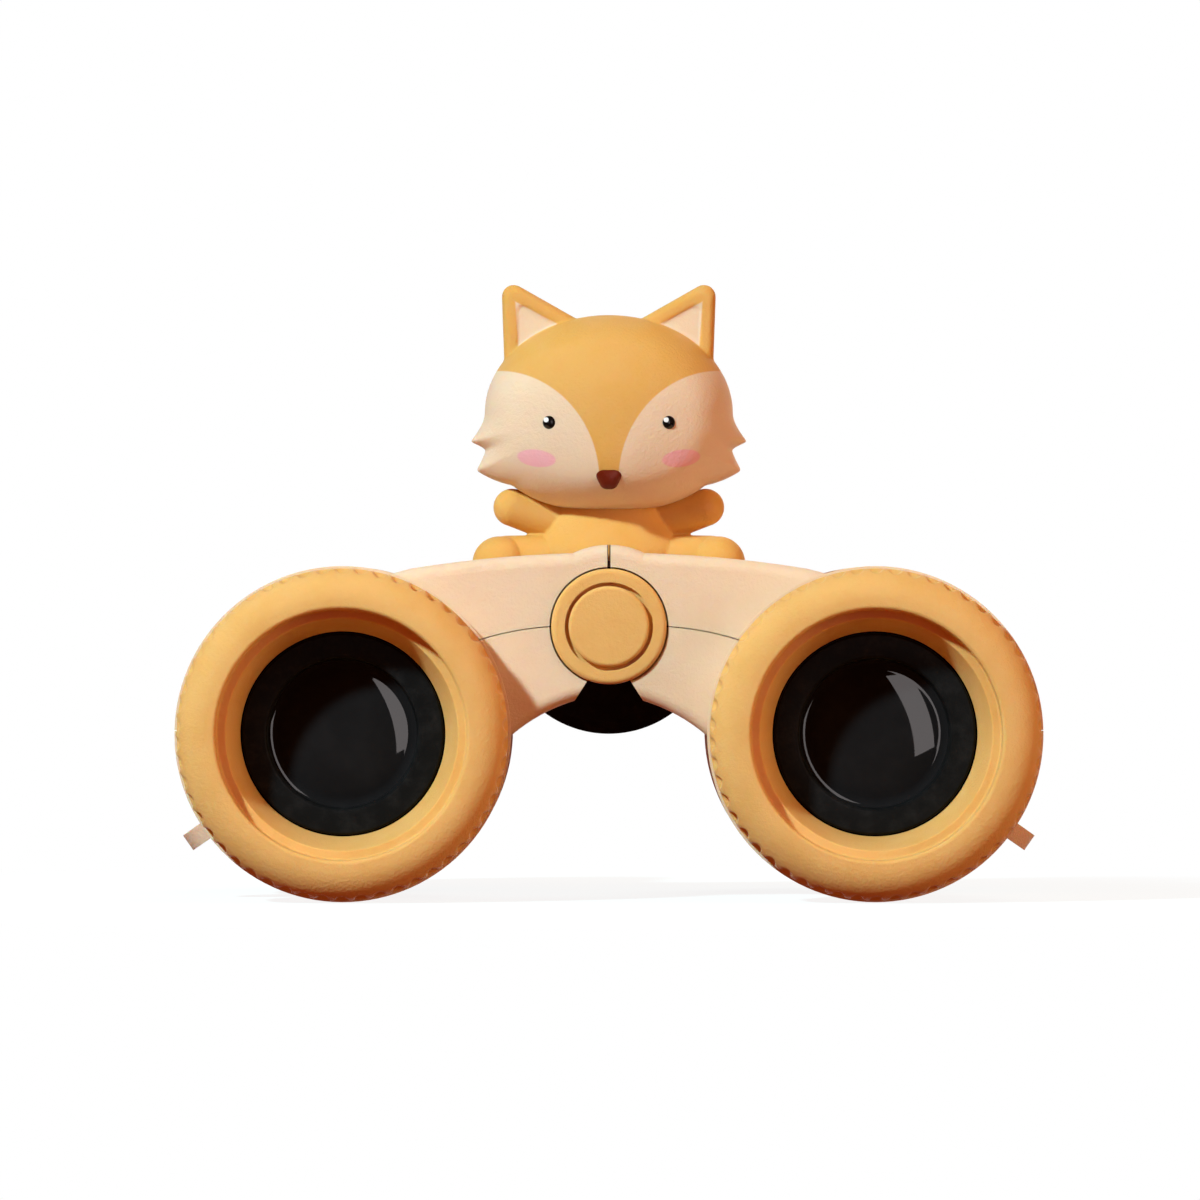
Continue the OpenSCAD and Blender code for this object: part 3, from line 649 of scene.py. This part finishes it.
@dataclass(frozen=True)
class FoxPaint(MouldedPlastic):
    """The fox's head: moulded in orange, with a cream mask, cream ear hollows and pink cheeks."""

    cream: Colour = CREAM
    pink: Colour = PINK
    fox_y: float = -12.0
    head_z: float = 59.4
    head_w: float = 15.2
    head_h: float = 12.0
    brow_x: float = 13.9
    brow_w: float = 12.75
    brow_h: float = 13.6
    brow_drop: float = 8.5
    mask_end: float = 2.0
    mask_slant: float = 0.3
    hollow: tuple[tuple[float, float], ...] = ((11.45, 13.6), (11.0, 7.0), (5.3, 10.35))
    blush_x: float = 8.8
    blush_drop: float = 5.65
    blush_w: float = 2.4
    blush_h: float = 1.06
    blush_tilt: float = 8.0

    def mask(self, graph: Graph) -> Socket:
        """The cream mask: outside an ellipse quarter that drops from the brow to the nose.

        At the side of the head it ends at a slanted line that runs back towards the chin.

        Args:
            graph: Graph of the material.

        Returns:
            1 on cream and 0 on orange.
        """
        x, y, z = graph.place()
        foot_z = self.head_z - self.brow_drop
        inward = (self.brow_x - abs(x)).at_least(0.0) / self.brow_w
        upward = (z - foot_z).at_least(0.0) / self.brow_h
        brow = (inward * inward + upward * upward).step(1.015, 0.985)
        chin = z.step(foot_z + 0.3, foot_z - 0.1)
        slanted = y + (z - (self.head_z - 1.0)) * self.mask_slant
        end_y = self.fox_y + self.mask_end
        front = slanted.step(end_y + 0.1, end_y - 0.1)
        return brow.at_least(chin) * front

    def ear_hollow(self, graph: Graph) -> Socket:
        """The cream triangle in each ear, as the least of three distances to its sides.

        Args:
            graph: Graph of the material.

        Returns:
            1 in the hollow and 0 elsewhere.
        """
        x, y, z = graph.place()
        across = abs(x)
        inside = None
        for (ax, az), (bx, bz) in zip(self.hollow, self.hollow[1:] + self.hollow[:1]):
            length = math.hypot(bx - ax, bz - az)
            nx, nz = (bz - az) / length, -(bx - ax) / length
            side = across * nx + z * nz - (ax * nx + (az + self.head_z) * nz)
            inside = side if inside is None else inside.at_most(side)
        flat = (x / self.head_w) ** 2.0 + ((z - self.head_z) / self.head_h) ** 2.0
        off_head = flat.step(0.98, 1.0)
        front = y.step(self.fox_y + 0.4, self.fox_y + 0.2)
        return inside.step(-0.12, 0.12) * off_head * front

    def blush(self, graph: Graph) -> Socket:
        """A soft pink ellipse on each cheek, a little lower on its inner end.

        Args:
            graph: Graph of the material.

        Returns:
            1 in the blush and 0 elsewhere.
        """
        x, y, z = graph.place()
        tilt = math.radians(self.blush_tilt)
        across = abs(x) - self.blush_x
        height = z - (self.head_z - self.blush_drop)
        major = (across * math.cos(tilt) + height * math.sin(tilt)) / self.blush_w
        minor = (height * math.cos(tilt) - across * math.sin(tilt)) / self.blush_h
        inside = (major * major + minor * minor).step(1.1, 0.8)
        return inside * y.step(self.fox_y - 0.5, self.fox_y - 1.0)

    def material(self) -> bpy.types.Material:
        """The finish as a material."""
        graph = Graph(self.name)
        pale = self.mask(graph).at_least(self.ear_hollow(graph))
        painted = graph.blend(pale, self.mottled(graph), self.cream)
        flushed = graph.blend(self.blush(graph) * 0.85, painted, self.pink)
        return graph.finish(self.sockets(graph, flushed))


@dataclass(frozen=True)
class EyeGloss:
    """Glossy black eyes with a small painted light in each."""

    name: str
    eye_x: float = 7.3
    eye_z: float = 58.1
    dot_r: float = 0.3
    dot_x: float = -0.34
    dot_z: float = 0.3

    def material(self) -> bpy.types.Material:
        """The finish as a material."""
        graph = Graph(self.name)
        x, _, z = graph.place()
        near = abs(abs(x - self.dot_x) - self.eye_x)
        height = z - (self.eye_z + self.dot_z)
        dot = (near * near + height * height).step(self.dot_r**2 * 1.25, self.dot_r**2 * 0.8)
        smear = graph.noise(0.5, 3.0)
        sockets = {
            "Base Color": graph.blend(dot, (0.006, 0.004, 0.004), (0.85, 0.82, 0.8)),
            "Roughness": smear * 0.1 + 0.18,
            "Normal": graph.bump(graph.noise(0.25, 2.0), 0.004),
        }
        return graph.finish(sockets)


class Palette:
    """All finishes of the toy, made once."""

    def __init__(self) -> None:
        """Makes the materials."""
        self.cream = MouldedPlastic("cream_moulded_plastic", CREAM, CREAM_SHADE).material()
        self.shell = ShellPlastic("cream_shell_plastic", CREAM, CREAM_SHADE).material()
        self.orange = MouldedPlastic("orange_moulded_plastic", ORANGE, ORANGE_SHADE).material()
        self.fox_body = MouldedPlastic("fox_body_plastic", FOX, FOX_SHADE).material()
        self.fox_head = FoxPaint("fox_head_paint", FOX, FOX_SHADE).material()
        self.nose = MouldedPlastic("fox_nose_plastic", NOSE, NOSE_SHADE, 0.42, scatter=0.1).material()
        self.eyes = EyeGloss("fox_eye_gloss").material()
        self.black = BlackPlastic("black_moulded_plastic").material()
        soft, dusty = (0.011, 0.011, 0.0115), (0.02, 0.0195, 0.019)
        self.rubber = BlackPlastic("eyecup_rubber", soft, dusty, 0.62, 0.6, grain_depth=0.04).material()
        self.glass = CoatedGlass("coated_lens_glass").material()
        self.steel = TurnedMetal("turned_steel", (0.52, 0.52, 0.54)).material()
        self.brass = TurnedMetal("turned_brass", (0.58, 0.4, 0.14)).material()

    def dress(self, nodes: Sequence[str], material: bpy.types.Material) -> None:
        """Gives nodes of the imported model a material.

        Args:
            nodes: Names of the nodes.
            material: Their material.
        """
        for name in nodes:
            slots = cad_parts[name].data.materials
            slots.clear()
            slots.append(material)
        LOG.info("%s on %s", material.name, ", ".join(nodes))


# Pieces of the toy


@dataclass
class Objective:
    """Fluted ring, black land and lens at the front of one barrel."""

    side: Side
    barrel_x: float = 32.173
    barrel_z: float = 20.3
    front_y: float = -37.0
    ring_r: float = 20.0
    lip_r: float = 15.1
    ring_len: float = 7.5
    funnel_r: float = 12.4
    socket_r: float = 17.25
    retainer_r: float = 14.6
    retainer_y: float = 9.0
    skirt_y: float = 11.4
    aperture_r: float = 9.2
    lens_r: float = 12.0
    lens_apex: float = 10.25
    lens_depth: float = 2.7
    lens_t: float = 4.3
    lip_start_r: float = 7.7
    lip_turn: float = 0.3
    flutes: int = 54
    flute_depth: float = 0.6
    cutter_r: float = 0.95
    lip_edge: float = 0.5
    rim_round: float = 3.9
    back_edge: float = 0.3
    step_w: float = 1.1
    step_drop: float = 1.2
    seat_drop: float = 1.2

    def fluted(self, r: Array, y: Array, angle: Array) -> Array:
        """Radius of the ring where round cutters have bitten flutes along its rim.

        A cutter's near side lies at c cos d - sqrt(k k - (c sin d)^2) from the axis, with c the
        distance of its centre, k its radius and d the angle from its middle. The flutes run out
        softly before the back of the ring.

        Args:
            r: Radii of the plain ring.
            y: Places along the axis.
            angle: Angles round the axis.

        Returns:
            The fluted radii.
        """
        pitch = 2 * math.pi / self.flutes
        off = np.mod(angle, pitch) - pitch / 2
        centre = self.ring_r - self.flute_depth + self.cutter_r
        reach = np.maximum(self.cutter_r**2 - (centre * np.sin(off)) ** 2, 0.0)
        bitten = np.where(reach > 0, centre * np.cos(off) - np.sqrt(reach), r)
        ends = 1 - smooth_step(y, self.ring_len - 1.3, self.ring_len - 0.7)
        outer = r > (self.lip_r + self.ring_r) / 2
        return np.where(outer, r - np.maximum(r - bitten, 0.0) * ends, r)

    def ring(self) -> Skin:
        """The ring: a crowned front with a round rim, a stepped funnel and a skirt in the barrel.

        Returns:
            The surface.
        """
        step_r = self.lip_r - self.step_w
        step_y = (self.ring_r - self.lip_r) / 2 + self.step_drop
        seat_y = self.retainer_y + self.seat_drop
        edge_y = self.ring_len - self.back_edge
        skirt_r = self.retainer_r + 0.05
        front = rounded(
            [
                (self.lip_r, step_y),
                (self.lip_r, 0.0, self.lip_edge),
                (self.ring_r, 0.0, self.rim_round),
                (self.ring_r, edge_y),
            ],
            24,
            False,
        )
        rim_y = np.linspace(self.rim_round + 0.1, edge_y, 9)
        rim = np.stack([np.full(len(rim_y), self.ring_r), rim_y], 1)
        back = rounded(
            [
                (self.ring_r, edge_y),
                (self.ring_r, self.ring_len, 0.25),
                (self.socket_r, self.ring_len),
                (self.socket_r, self.skirt_y),
                (skirt_r, self.skirt_y),
                (skirt_r, seat_y),
                (self.funnel_r, seat_y),
                (self.funnel_r, self.retainer_y, 0.12),
                (step_r, step_y, 0.25),
                (self.lip_r, step_y, 0.3),
                (self.lip_r, self.lip_edge),
            ],
            5,
            False,
        )
        profile = np.concatenate([front[1:-1], rim, back[1:-1]])
        return turned(profile, self.flutes * 14, True, self.fluted)

    def lens_front(self, r: Array | float) -> Array | float:
        """Y of the lens's front face at a radius r, with t = r / R.

        The dome is apex + d (t^2 + t^4) / 2. Past the start of its rim, the face turns up again as
        a square, which gives the lens a moulded lip.

        Args:
            r: Radii.

        Returns:
            The places along the axis.
        """
        share = r / self.lens_r
        dome = self.lens_apex + self.lens_depth * (share**2 + share**4) / 2
        past = np.clip(r - self.lip_start_r, 0.0, self.aperture_r - self.lip_start_r)
        return dome - self.lip_turn * past**2

    def land(self) -> Skin:
        """The black land: a flat face, a rounded rim and a lip that slopes down to the lens.

        Returns:
            The surface.
        """
        land_r = self.funnel_r - 0.2
        lip_r = self.aperture_r - 0.3
        flange_y = self.retainer_y + 1.3
        profile = rounded(
            [
                (self.aperture_r, self.retainer_y, 0.35),
                (land_r, self.retainer_y, 0.4),
                (land_r, flange_y),
                (self.retainer_r, flange_y),
                (self.retainer_r, self.skirt_y),
                (self.aperture_r + 0.3, self.lens_front(self.aperture_r) - 0.1),
                (lip_r, self.lens_front(lip_r) - 0.25, 0.08),
            ],
            6,
        )
        return turned(profile, 192, True)

    def lens(self) -> Skin:
        """The lens: a domed front with a turned-up lip, a cylindrical edge and a flat back.

        Returns:
            The surface.
        """
        r = np.linspace(0.0, self.lens_r - 0.15, 120)
        dome = self.lens_front(r)
        edge_y = self.lens_front(self.lens_r)
        back_y = self.lens_apex + self.lens_t
        edge = rounded(
            [
                (self.lens_r - 0.1, edge_y),
                (self.lens_r, edge_y + 0.1),
                (self.lens_r, back_y, 0.15),
                (0.0, back_y),
            ],
            4,
            False,
        )
        return turned(np.concatenate([np.stack([r, dome], 1), edge]), 160, False)

    def build(self, palette: Palette) -> None:
        """Makes and dresses the pieces.

        Args:
            palette: The finishes.
        """
        place = {"x": self.side.value * self.barrel_x, "y": self.front_y, "z": self.barrel_z}
        body = f"{self.side.word}_half"
        for part, skin, slot, material in (
            ("objective_ring", self.ring(), "orange_plastic", palette.orange),
            ("retaining_ring", self.land(), "black_plastic", palette.black),
            ("objective_lens", self.lens(), "lens_glass", palette.glass),
        ):
            name = f"{self.side.word}_{part}"
            mesh = skin.moved(**place).mesh(f"dressed_{name}")
            mesh.materials.append(material)
            add_piece(f"dressed_{name}", mesh, body, name)


@dataclass
class PartingTongue:
    """The moulded tongue that closes the parting line of one half's front bridge from inside."""

    side: Side
    hinge_z: float = 33.299
    curve: float = 36.0
    curve_x: float = 4.8
    start_x: float = 8.6
    end_x: float = 27.0
    front_y: float = -25.2
    back_y: float = -18.0
    half_t: float = 0.25

    def build(self, palette: Palette) -> None:
        """Makes a strip along the arc z = sqrt(R R - (x - c)^2) - R, a little thicker than the gap.

        Args:
            palette: The finishes.
        """
        x = np.linspace(self.start_x, self.end_x, 60)[:, None]
        z = np.sqrt(self.curve**2 - (x - self.curve_x) ** 2) - self.curve + self.hinge_z
        round_y = np.array([[self.front_y, self.back_y, self.back_y, self.front_y]])
        round_z = np.array([[-1.0, -1.0, 1.0, 1.0]]) * self.half_t
        points = np.stack(np.broadcast_arrays(x, round_y, z + round_z), -1)
        first, last = points[:1].mean(1, keepdims=True), points[-1:].mean(1, keepdims=True)
        ends = [np.repeat(end, 4, 1) for end in (first, last)]
        skin = Skin.grid(np.concatenate([ends[0], points, ends[1]])).outward()
        if self.side is Side.LEFT:
            skin = skin.mirrored()
        name = f"{self.side.word}_parting_tongue"
        mesh = skin.mesh(name)
        mesh.materials.append(palette.cream)
        tongue = bpy.data.objects.new(name, mesh)
        bpy.context.scene.collection.objects.link(tongue)
        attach(tongue, f"{self.side.word}_half")
        LOG.info("%s: %d faces", name, len(mesh.polygons))


@dataclass
class Fox:
    """The little fox that sits on the hinge."""

    fox_y: float = -12.0
    hinge_z: float = 33.299
    head_z: float = 26.1
    head_w: float = 15.2
    head_h: float = 12.0
    head_d: float = 10.8
    upper_tuft: float = 2.0
    lower_tuft: float = 2.4
    upper_angles: Point = (0.0, -11.7, -16.5)
    lower_angles: Point = (-12.0, -23.4, -37.0)
    ear_thick: float = 2.5
    ear_edge: float = 0.9
    ear_rim: float = 1.75
    ear_hollow: float = 0.3
    ear_round: float = 1.45
    ear_ahead: float = 0.6
    ear_swell: float = 0.35
    ear_tip: tuple[float, float] = (13.2, 42.9)
    ear_outer: tuple[float, float] = (12.7, 29.0)
    ear_inner: tuple[float, float] = (1.4, 36.2)
    nose_z: float = 18.2
    nose_dome: float = 0.95
    nose_root: float = 0.6
    nose_sunk: float = 0.1
    slice_power: float = 0.9
    full_face: float = 0.5
    full_at: float = 0.78
    full_w: float = 0.18
    muzzle_rise: float = 1.1
    muzzle_w: float = 5.0
    muzzle_h: float = 4.0
    muzzle_drop: float = 8.0
    torso_low: float = 6.3
    torso_high: float = 16.1
    torso_wide: float = 10.9
    torso_slim: float = 4.7
    torso_d: float = 4.5
    torso_round: float = 9.0

    def outline(self, angle: Array) -> Array:
        """Radius of the head's front outline: a superellipse, squarer below the middle.

        Args:
            angle: Angles above the horizontal.

        Returns:
            The radii.
        """
        power = np.where(angle > 0, 2.0, 2.5)
        wide = np.abs(np.cos(angle) / self.head_w) ** power
        tall = np.abs(np.sin(angle) / self.head_h) ** power
        return (wide + tall) ** (-1 / power)

    @staticmethod
    def tuft(degrees: Array, start: float, tip: float, end: float, rise: float) -> Array:
        """A cheek tuft: it grows as a square from start to tip and falls off straight to end.

        Args:
            degrees: Angles above the horizontal.
            start: Where it begins.
            tip: Where it is highest.
            end: Where it is over.
            rise: Its height.

        Returns:
            The rise at each angle.
        """
        grow = rise * ((start - degrees) / (start - tip)) ** 2
        fall = rise * (degrees - end) / (tip - end)
        inside = (degrees < start) & (degrees > end)
        return np.where(inside, np.where(degrees > tip, grow, fall), 0.0)

    def muzzle(self, x: Array, z: Array) -> Array:
        """A soft bulge round the nose, as a bell curve."""
        aside, above = x / self.muzzle_w, (z + self.muzzle_drop) / self.muzzle_h
        return self.muzzle_rise * np.exp(-(aside**2) - above**2)

    def fullness(self, share: Array) -> Array:
        """A bell curve that fills the face out near its edge, over the share of the outline reached."""
        return self.full_face * np.exp(-(((share - self.full_at) / self.full_w) ** 2))

    def head(self) -> Skin:
        """The head: slices of the front outline that shrink as a power of the latitude's cosine.

        The cheek tufts fade from the middle as cos^14. The muzzle and the full face swell the front.

        Returns:
            The surface.
        """
        turn = np.radians(np.linspace(-90.0, 270.0, 480, endpoint=False))[None, :]
        latitude = np.radians(np.linspace(-90.0, 90.0, 181))[:, None]
        angle = np.arcsin(np.sin(turn))
        degrees = np.degrees(angle)
        cheek = self.tuft(degrees, *self.upper_angles, self.upper_tuft)
        cheek = cheek + self.tuft(degrees, *self.lower_angles, self.lower_tuft)
        slim = np.maximum(np.cos(latitude), 0.0)
        r = slim**self.slice_power * self.outline(angle) + cheek * slim**14
        x = r * np.cos(turn)
        z = r * np.sin(turn)
        swell = self.muzzle(x, z) + self.fullness(slim**self.slice_power)
        y = self.head_d * np.sin(latitude) - np.where(latitude < 0, swell, 0.0)
        return Skin.sheet(x, y + self.fox_y, z + self.hinge_z + self.head_z)

    def face_y(self, x: float, z: float) -> float:
        """Y of the face at a place that no tuft reaches."""
        height = z - self.head_z
        edge = float(self.outline(np.array(math.atan2(height, abs(x)))))
        latitude = math.acos((math.hypot(x, height) / edge) ** (1 / self.slice_power))
        depth = math.sin(latitude)
        return self.fox_y - self.head_d * depth - float(self.muzzle(np.array(x), np.array(height)))

    def ear_outline(self, angle: Array) -> tuple[Array, Array, Array]:
        """Outline of the right ear seen from the front: a triangle with round corners.

        Args:
            angle: Directions from the middle of the ear.

        Returns:
            X and Z of the middle, and the distance of the outline in each direction.
        """
        corners = np.array([self.ear_tip, self.ear_outer, self.ear_inner])
        sides = np.linalg.norm(np.roll(corners, -1, 0) - np.roll(corners, -2, 0), axis=1)
        middle = sides @ corners / sides.sum()
        outline = rounded([(*place, self.ear_round) for place in corners], 14)
        steps = np.linspace(0.0, 1.0, 40, endpoint=False)[None, :, None]
        following = np.roll(outline, -1, 0)
        dense = outline[:, None, :] * (1 - steps) + following[:, None, :] * steps
        way = dense.reshape(-1, 2) - middle
        heading = np.arctan2(way[:, 1], way[:, 0])
        order = np.argsort(heading)
        distance = np.linalg.norm(way, axis=1)
        return middle[0], middle[1], np.interp(angle, heading[order], distance[order], period=2 * math.pi)

    def ear(self) -> Skin:
        """The right ear: a round rim and a hollow in front, and a round back.

        At a distance d inside the outline the half thickness is q sqrt(1 - (1 - d / e)^2) up to the
        crest at e. Inside the rim the front sinks to the hollow, and the back swells a little. The
        outline shrinks towards the middle of its inscribed circle, so the rim is equally wide.

        Returns:
            The surface.
        """
        q = self.ear_thick / 2
        angle = np.linspace(-math.pi, math.pi, 160, endpoint=False)[None, :]
        share = np.linspace(0.0, 1.0, 60) ** 0.6
        middle_x, middle_z, reach = self.ear_outline(angle)
        out, front = out_and_back(share)
        inset = (1 - out) * reach.min()
        rim = q * np.sqrt(1 - np.maximum(1 - inset / self.ear_edge, 0.0) ** 2)
        hollow = self.ear_hollow * smooth_step(inset, self.ear_rim - 0.15, self.ear_rim + 0.15)
        swell = self.ear_swell * smooth_step(inset, q, q + 2.0)
        x = middle_x + out * reach * np.cos(angle)
        y = np.where(front, hollow - rim, rim + swell) + self.fox_y - self.ear_ahead
        z = middle_z + out * reach * np.sin(angle) + self.hinge_z
        return Skin.sheet(x, y, z)

    def torso(self) -> Skin:
        """The torso: a rounded cone of half width a, flattened in depth.

        Returns:
            The surface.
        """
        profile = rounded(
            [
                (0.0, self.torso_low),
                (self.torso_wide, self.torso_low, 2.4),
                (self.torso_slim, self.torso_high, 2.0),
                (0.0, self.torso_high),
            ],
            14,
            False,
        )
        angle = np.linspace(0.0, 2 * math.pi, 128, endpoint=False)[None, :]
        a = profile[:, :1]
        depth = self.torso_d * np.minimum(a / self.torso_round, 1.0) ** 1.1
        x = a * np.cos(angle)
        y = depth * np.sin(angle) + self.fox_y
        z = profile[:, 1:] + self.hinge_z
        return Skin.sheet(x, y, z)

    def limbs(self) -> Skin:
        """The right arm, leg and foot.

        Returns:
            The surface.
        """

        def at(x: float, y: float, z: float) -> Point:
            """A place counted from the middle of the fox and the hinge axis."""
            return x, self.fox_y + y, self.hinge_z + z

        arm = capsule(at(7.0, 1.9, 13.2), at(11.85, 0.6, 14.55), 2.8, 2.3)
        leg = capsule(at(5.0, 0.4, 7.9), at(12.4, 0.4, 7.8), 3.3, 3.3)
        foot = capsule(at(13.4, -1.1, 7.7), at(13.4, 0.8, 7.7), 3.3, 3.3)
        return arm + leg + foot

    def nose(self) -> Skin:
        """The nose: four round corners, wider at the top, domed as a half ellipse.

        Returns:
            The surface.
        """
        corners = [(-2.3, 1.35, 0.9), (2.3, 1.35, 0.9), (0.8, -1.55, 0.95), (-0.8, -1.55, 0.95)]
        outline = rounded(corners, 16)
        share = np.sin(np.linspace(0.0, math.pi / 2, 20))
        out, front = out_and_back(share)
        dome = np.sqrt(np.maximum(1 - out**2, 0.0)) * np.where(front, -self.nose_dome, self.nose_root)
        x = out * outline[None, :, 0]
        z = out * outline[None, :, 1] + self.nose_z + self.hinge_z
        y = dome + self.face_y(0.0, self.nose_z) + self.nose_sunk
        return Skin.sheet(x, y, z)

    def build(self, palette: Palette) -> None:
        """Makes and dresses the figure.

        Args:
            palette: The finishes.
        """
        ear = self.ear()
        head = fused((self.head() + ear + ear.mirrored()).mesh("fox_head_skin"), 0.2, 4)
        limbs = self.limbs()
        body = fused((self.torso() + limbs + limbs.mirrored()).mesh("fox_body_skin"), 0.16, 3)
        nose = self.nose().mesh("fox_nose_skin")
        for part, mesh, slot, material in (
            ("head", head, "fox_plastic", palette.fox_head),
            ("body", body, "fox_plastic", palette.fox_body),
            ("nose", nose, "nose_plastic", palette.nose),
        ):
            mesh.materials.clear()
            mesh.materials.append(material)
            add_piece(f"dressed_fox_{part}", mesh, "hinge", f"fox_{part}")
        palette.dress(["fox_eyes"], palette.eyes)


def both(*parts: str) -> list[str]:
    """Names of nodes that each half has."""
    return [f"{side.word}_{part}" for side in Side for part in parts]


class Bench:
    """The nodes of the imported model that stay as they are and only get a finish."""

    def build(self, palette: Palette) -> None:
        """Dresses the nodes.

        Args:
            palette: The finishes.
        """
        palette.dress([*both("upper_shell", "lower_shell"), "hinge_spine"], palette.shell)
        palette.dress(["hinge_cap", "cap_cover"], palette.orange)
        black = both("lens_tube", "focus_arm", "eyepiece_tube", "ocular_retainer")
        palette.dress([*black, "focus_wheel", "screw_end_cap"], palette.black)
        palette.dress(both("eyecup"), palette.rubber)
        palette.dress(both("ocular_lens"), palette.glass)
        steel = ["hinge_axle", "hinge_screw", "spring_washer", "thrust_washer", "focus_screw"]
        palette.dress([*both("shell_screws"), *steel], palette.steel)
        palette.dress(["focus_nut"], palette.brass)


@dataclass(frozen=True)
class Lamp:
    """A rectangular soft box in millimetres and watts; a panel shows in reflections alone."""

    name: str
    place: Point
    size: tuple[float, float]
    power: float
    colour: Colour
    aim: Point = (0.0, 0.0, 38.0)
    roll: float = 0.0
    panel: bool = False

    def build(self) -> None:
        """Adds the lamp, faced to its aim and rolled about its own axis."""
        light = bpy.data.lights.new(self.name, "AREA")
        light.shape = "RECTANGLE"
        light.size = self.size[0] * MM
        light.size_y = self.size[1] * MM
        light.energy = self.power
        light.color = self.colour
        lamp = bpy.data.objects.new(self.name, light)
        lamp.location = Vector(self.place) * MM
        way = Vector(self.aim) - Vector(self.place)
        lamp.rotation_euler = way.to_track_quat("-Z", "Y").to_euler()
        lamp.rotation_euler.rotate_axis("Z", math.radians(self.roll))
        lamp.visible_glossy = self.panel
        lamp.visible_diffuse = not self.panel
        bpy.context.scene.collection.objects.link(lamp)


LAMPS = (
    Lamp("key", (-525.0, -664.0, 570.0), (70.0, 70.0), 12.4, (0.7, 0.94, 1.0)),
    Lamp(
        "panel",
        (240.0, -637.0, 130.0),
        (150.0, 430.0),
        1.0,
        (1.0, 0.92, 0.92),
        aim=(0.0, -37.0, 20.0),
        roll=14.0,
        panel=True,
    ),
    Lamp("warm_fill", (1000.0, -420.0, 300.0), (500.0, 500.0), 5.0, (1.0, 0.7, 0.45)),
    Lamp("back", (350.0, 900.0, 700.0), (500.0, 500.0), 4.5, (1.0, 0.96, 0.88)),
)


@dataclass
class Studio:
    """White floor and backdrop, a key light, a warm fill, a light from behind, a panel and the camera."""

    camera_x: float = -1.08
    camera_z: float = 36.5
    front_y: float = -37.0
    distance: float = 1200.0
    lens: float = 300.0
    room: Colour = (0.26, 0.06, 0.022)
    mirrored_room: float = 0.06
    floor_reach: float = 4000.0
    shadow_near: float = 70.0
    shadow_far: float = 130.0

    def floor(self) -> None:
        """A white floor that keeps a soft shadow near the toy and fades into the backdrop."""
        reach = self.floor_reach * MM
        mesh = bpy.data.meshes.new("floor")
        corners = [(-reach, -reach, 0.0), (reach, -reach, 0.0), (reach, reach, 0.0), (-reach, reach, 0.0)]
        mesh.from_pydata(corners, [], [(0, 1, 2, 3)])
        graph = Graph("white_floor")
        x, y, _ = graph.place()
        away = (x * x + y * y).step(self.shadow_near**2, self.shadow_far**2)
        matt = graph.node("ShaderNodeBsdfDiffuse", {}, {"Color": (0.14, 0.19, 0.19, 1.0)})
        lift = graph.node("ShaderNodeEmission", {}, {"Color": WHITE, "Strength": 0.88})
        white = graph.node("ShaderNodeEmission", {}, {"Color": WHITE, "Strength": 1.0})
        near = graph.node("ShaderNodeAddShader", {}, {0: matt, 1: lift})
        seen = graph.node("ShaderNodeMixShader", {}, {0: away, 1: near, 2: white})
        direct, _ = graph.rays(y.step(40.0, 120.0))
        graph.node_output(graph.node("ShaderNodeMixShader", {}, {0: direct, 1: matt, 2: seen}))
        mesh.materials.append(graph.material)
        floor = bpy.data.objects.new("floor", mesh)
        bpy.context.scene.collection.objects.link(floor)
        floor.visible_glossy = False
        floor.visible_diffuse = False

    def backdrop(self) -> None:
        """White behind the toy, and a weak warm light from all round."""
        world = bpy.data.worlds.new("studio")
        world.use_nodes = True
        bpy.context.scene.world = world
        tree = world.node_tree
        tree.nodes.clear()
        graph = Graph.over(tree)
        way = graph.node("ShaderNodeTexCoord", {}, {}, "Generated")
        behind = graph.node("ShaderNodeSeparateXYZ", {}, {0: way}, "Y").step(0.7, 0.95)
        direct, bent = graph.rays(behind)
        white = graph.node("ShaderNodeBackground", {}, {"Color": WHITE, "Strength": 1.0})
        warm = (*self.room, 1.0)
        room = graph.node("ShaderNodeBackground", {}, {"Color": warm, "Strength": 1.0})
        dark = graph.node("ShaderNodeBackground", {}, {"Color": warm, "Strength": self.mirrored_room})
        unlit = graph.node("ShaderNodeMixShader", {}, {0: bent, 1: room, 2: dark})
        mix = graph.node("ShaderNodeMixShader", {}, {0: direct, 1: unlit, 2: white})
        output = tree.nodes.new("ShaderNodeOutputWorld")
        tree.links.new(mix.socket, output.inputs["Surface"])

    def camera(self) -> None:
        """The camera: level, straight at the objective side, with a long lens."""
        data = bpy.data.cameras.new("camera")
        data.sensor_width = 36.0
        data.lens = self.lens
        data.clip_start = 0.05
        data.clip_end = 20.0
        camera = bpy.data.objects.new("camera", data)
        camera.location = Vector((self.camera_x, self.front_y - self.distance, self.camera_z)) * MM
        camera.rotation_euler = (math.pi / 2, 0.0, 0.0)
        bpy.context.scene.collection.objects.link(camera)
        bpy.context.scene.camera = camera

    def build(self) -> None:
        """Sets up the studio."""
        bpy.context.scene.view_settings.view_transform = "Standard"
        self.camera()
        self.floor()
        self.backdrop()
        for lamp in LAMPS:
            lamp.build()


def main() -> None:
    """Builds the studio and dresses the toy."""
    logging.basicConfig(level=logging.INFO)
    Studio().build()
    palette = Palette()
    Bench().build(palette)
    for side in Side:
        Objective(side).build(palette)
        PartingTongue(side).build(palette)
    Fox().build(palette)


if __name__ == "__main__":
    main()
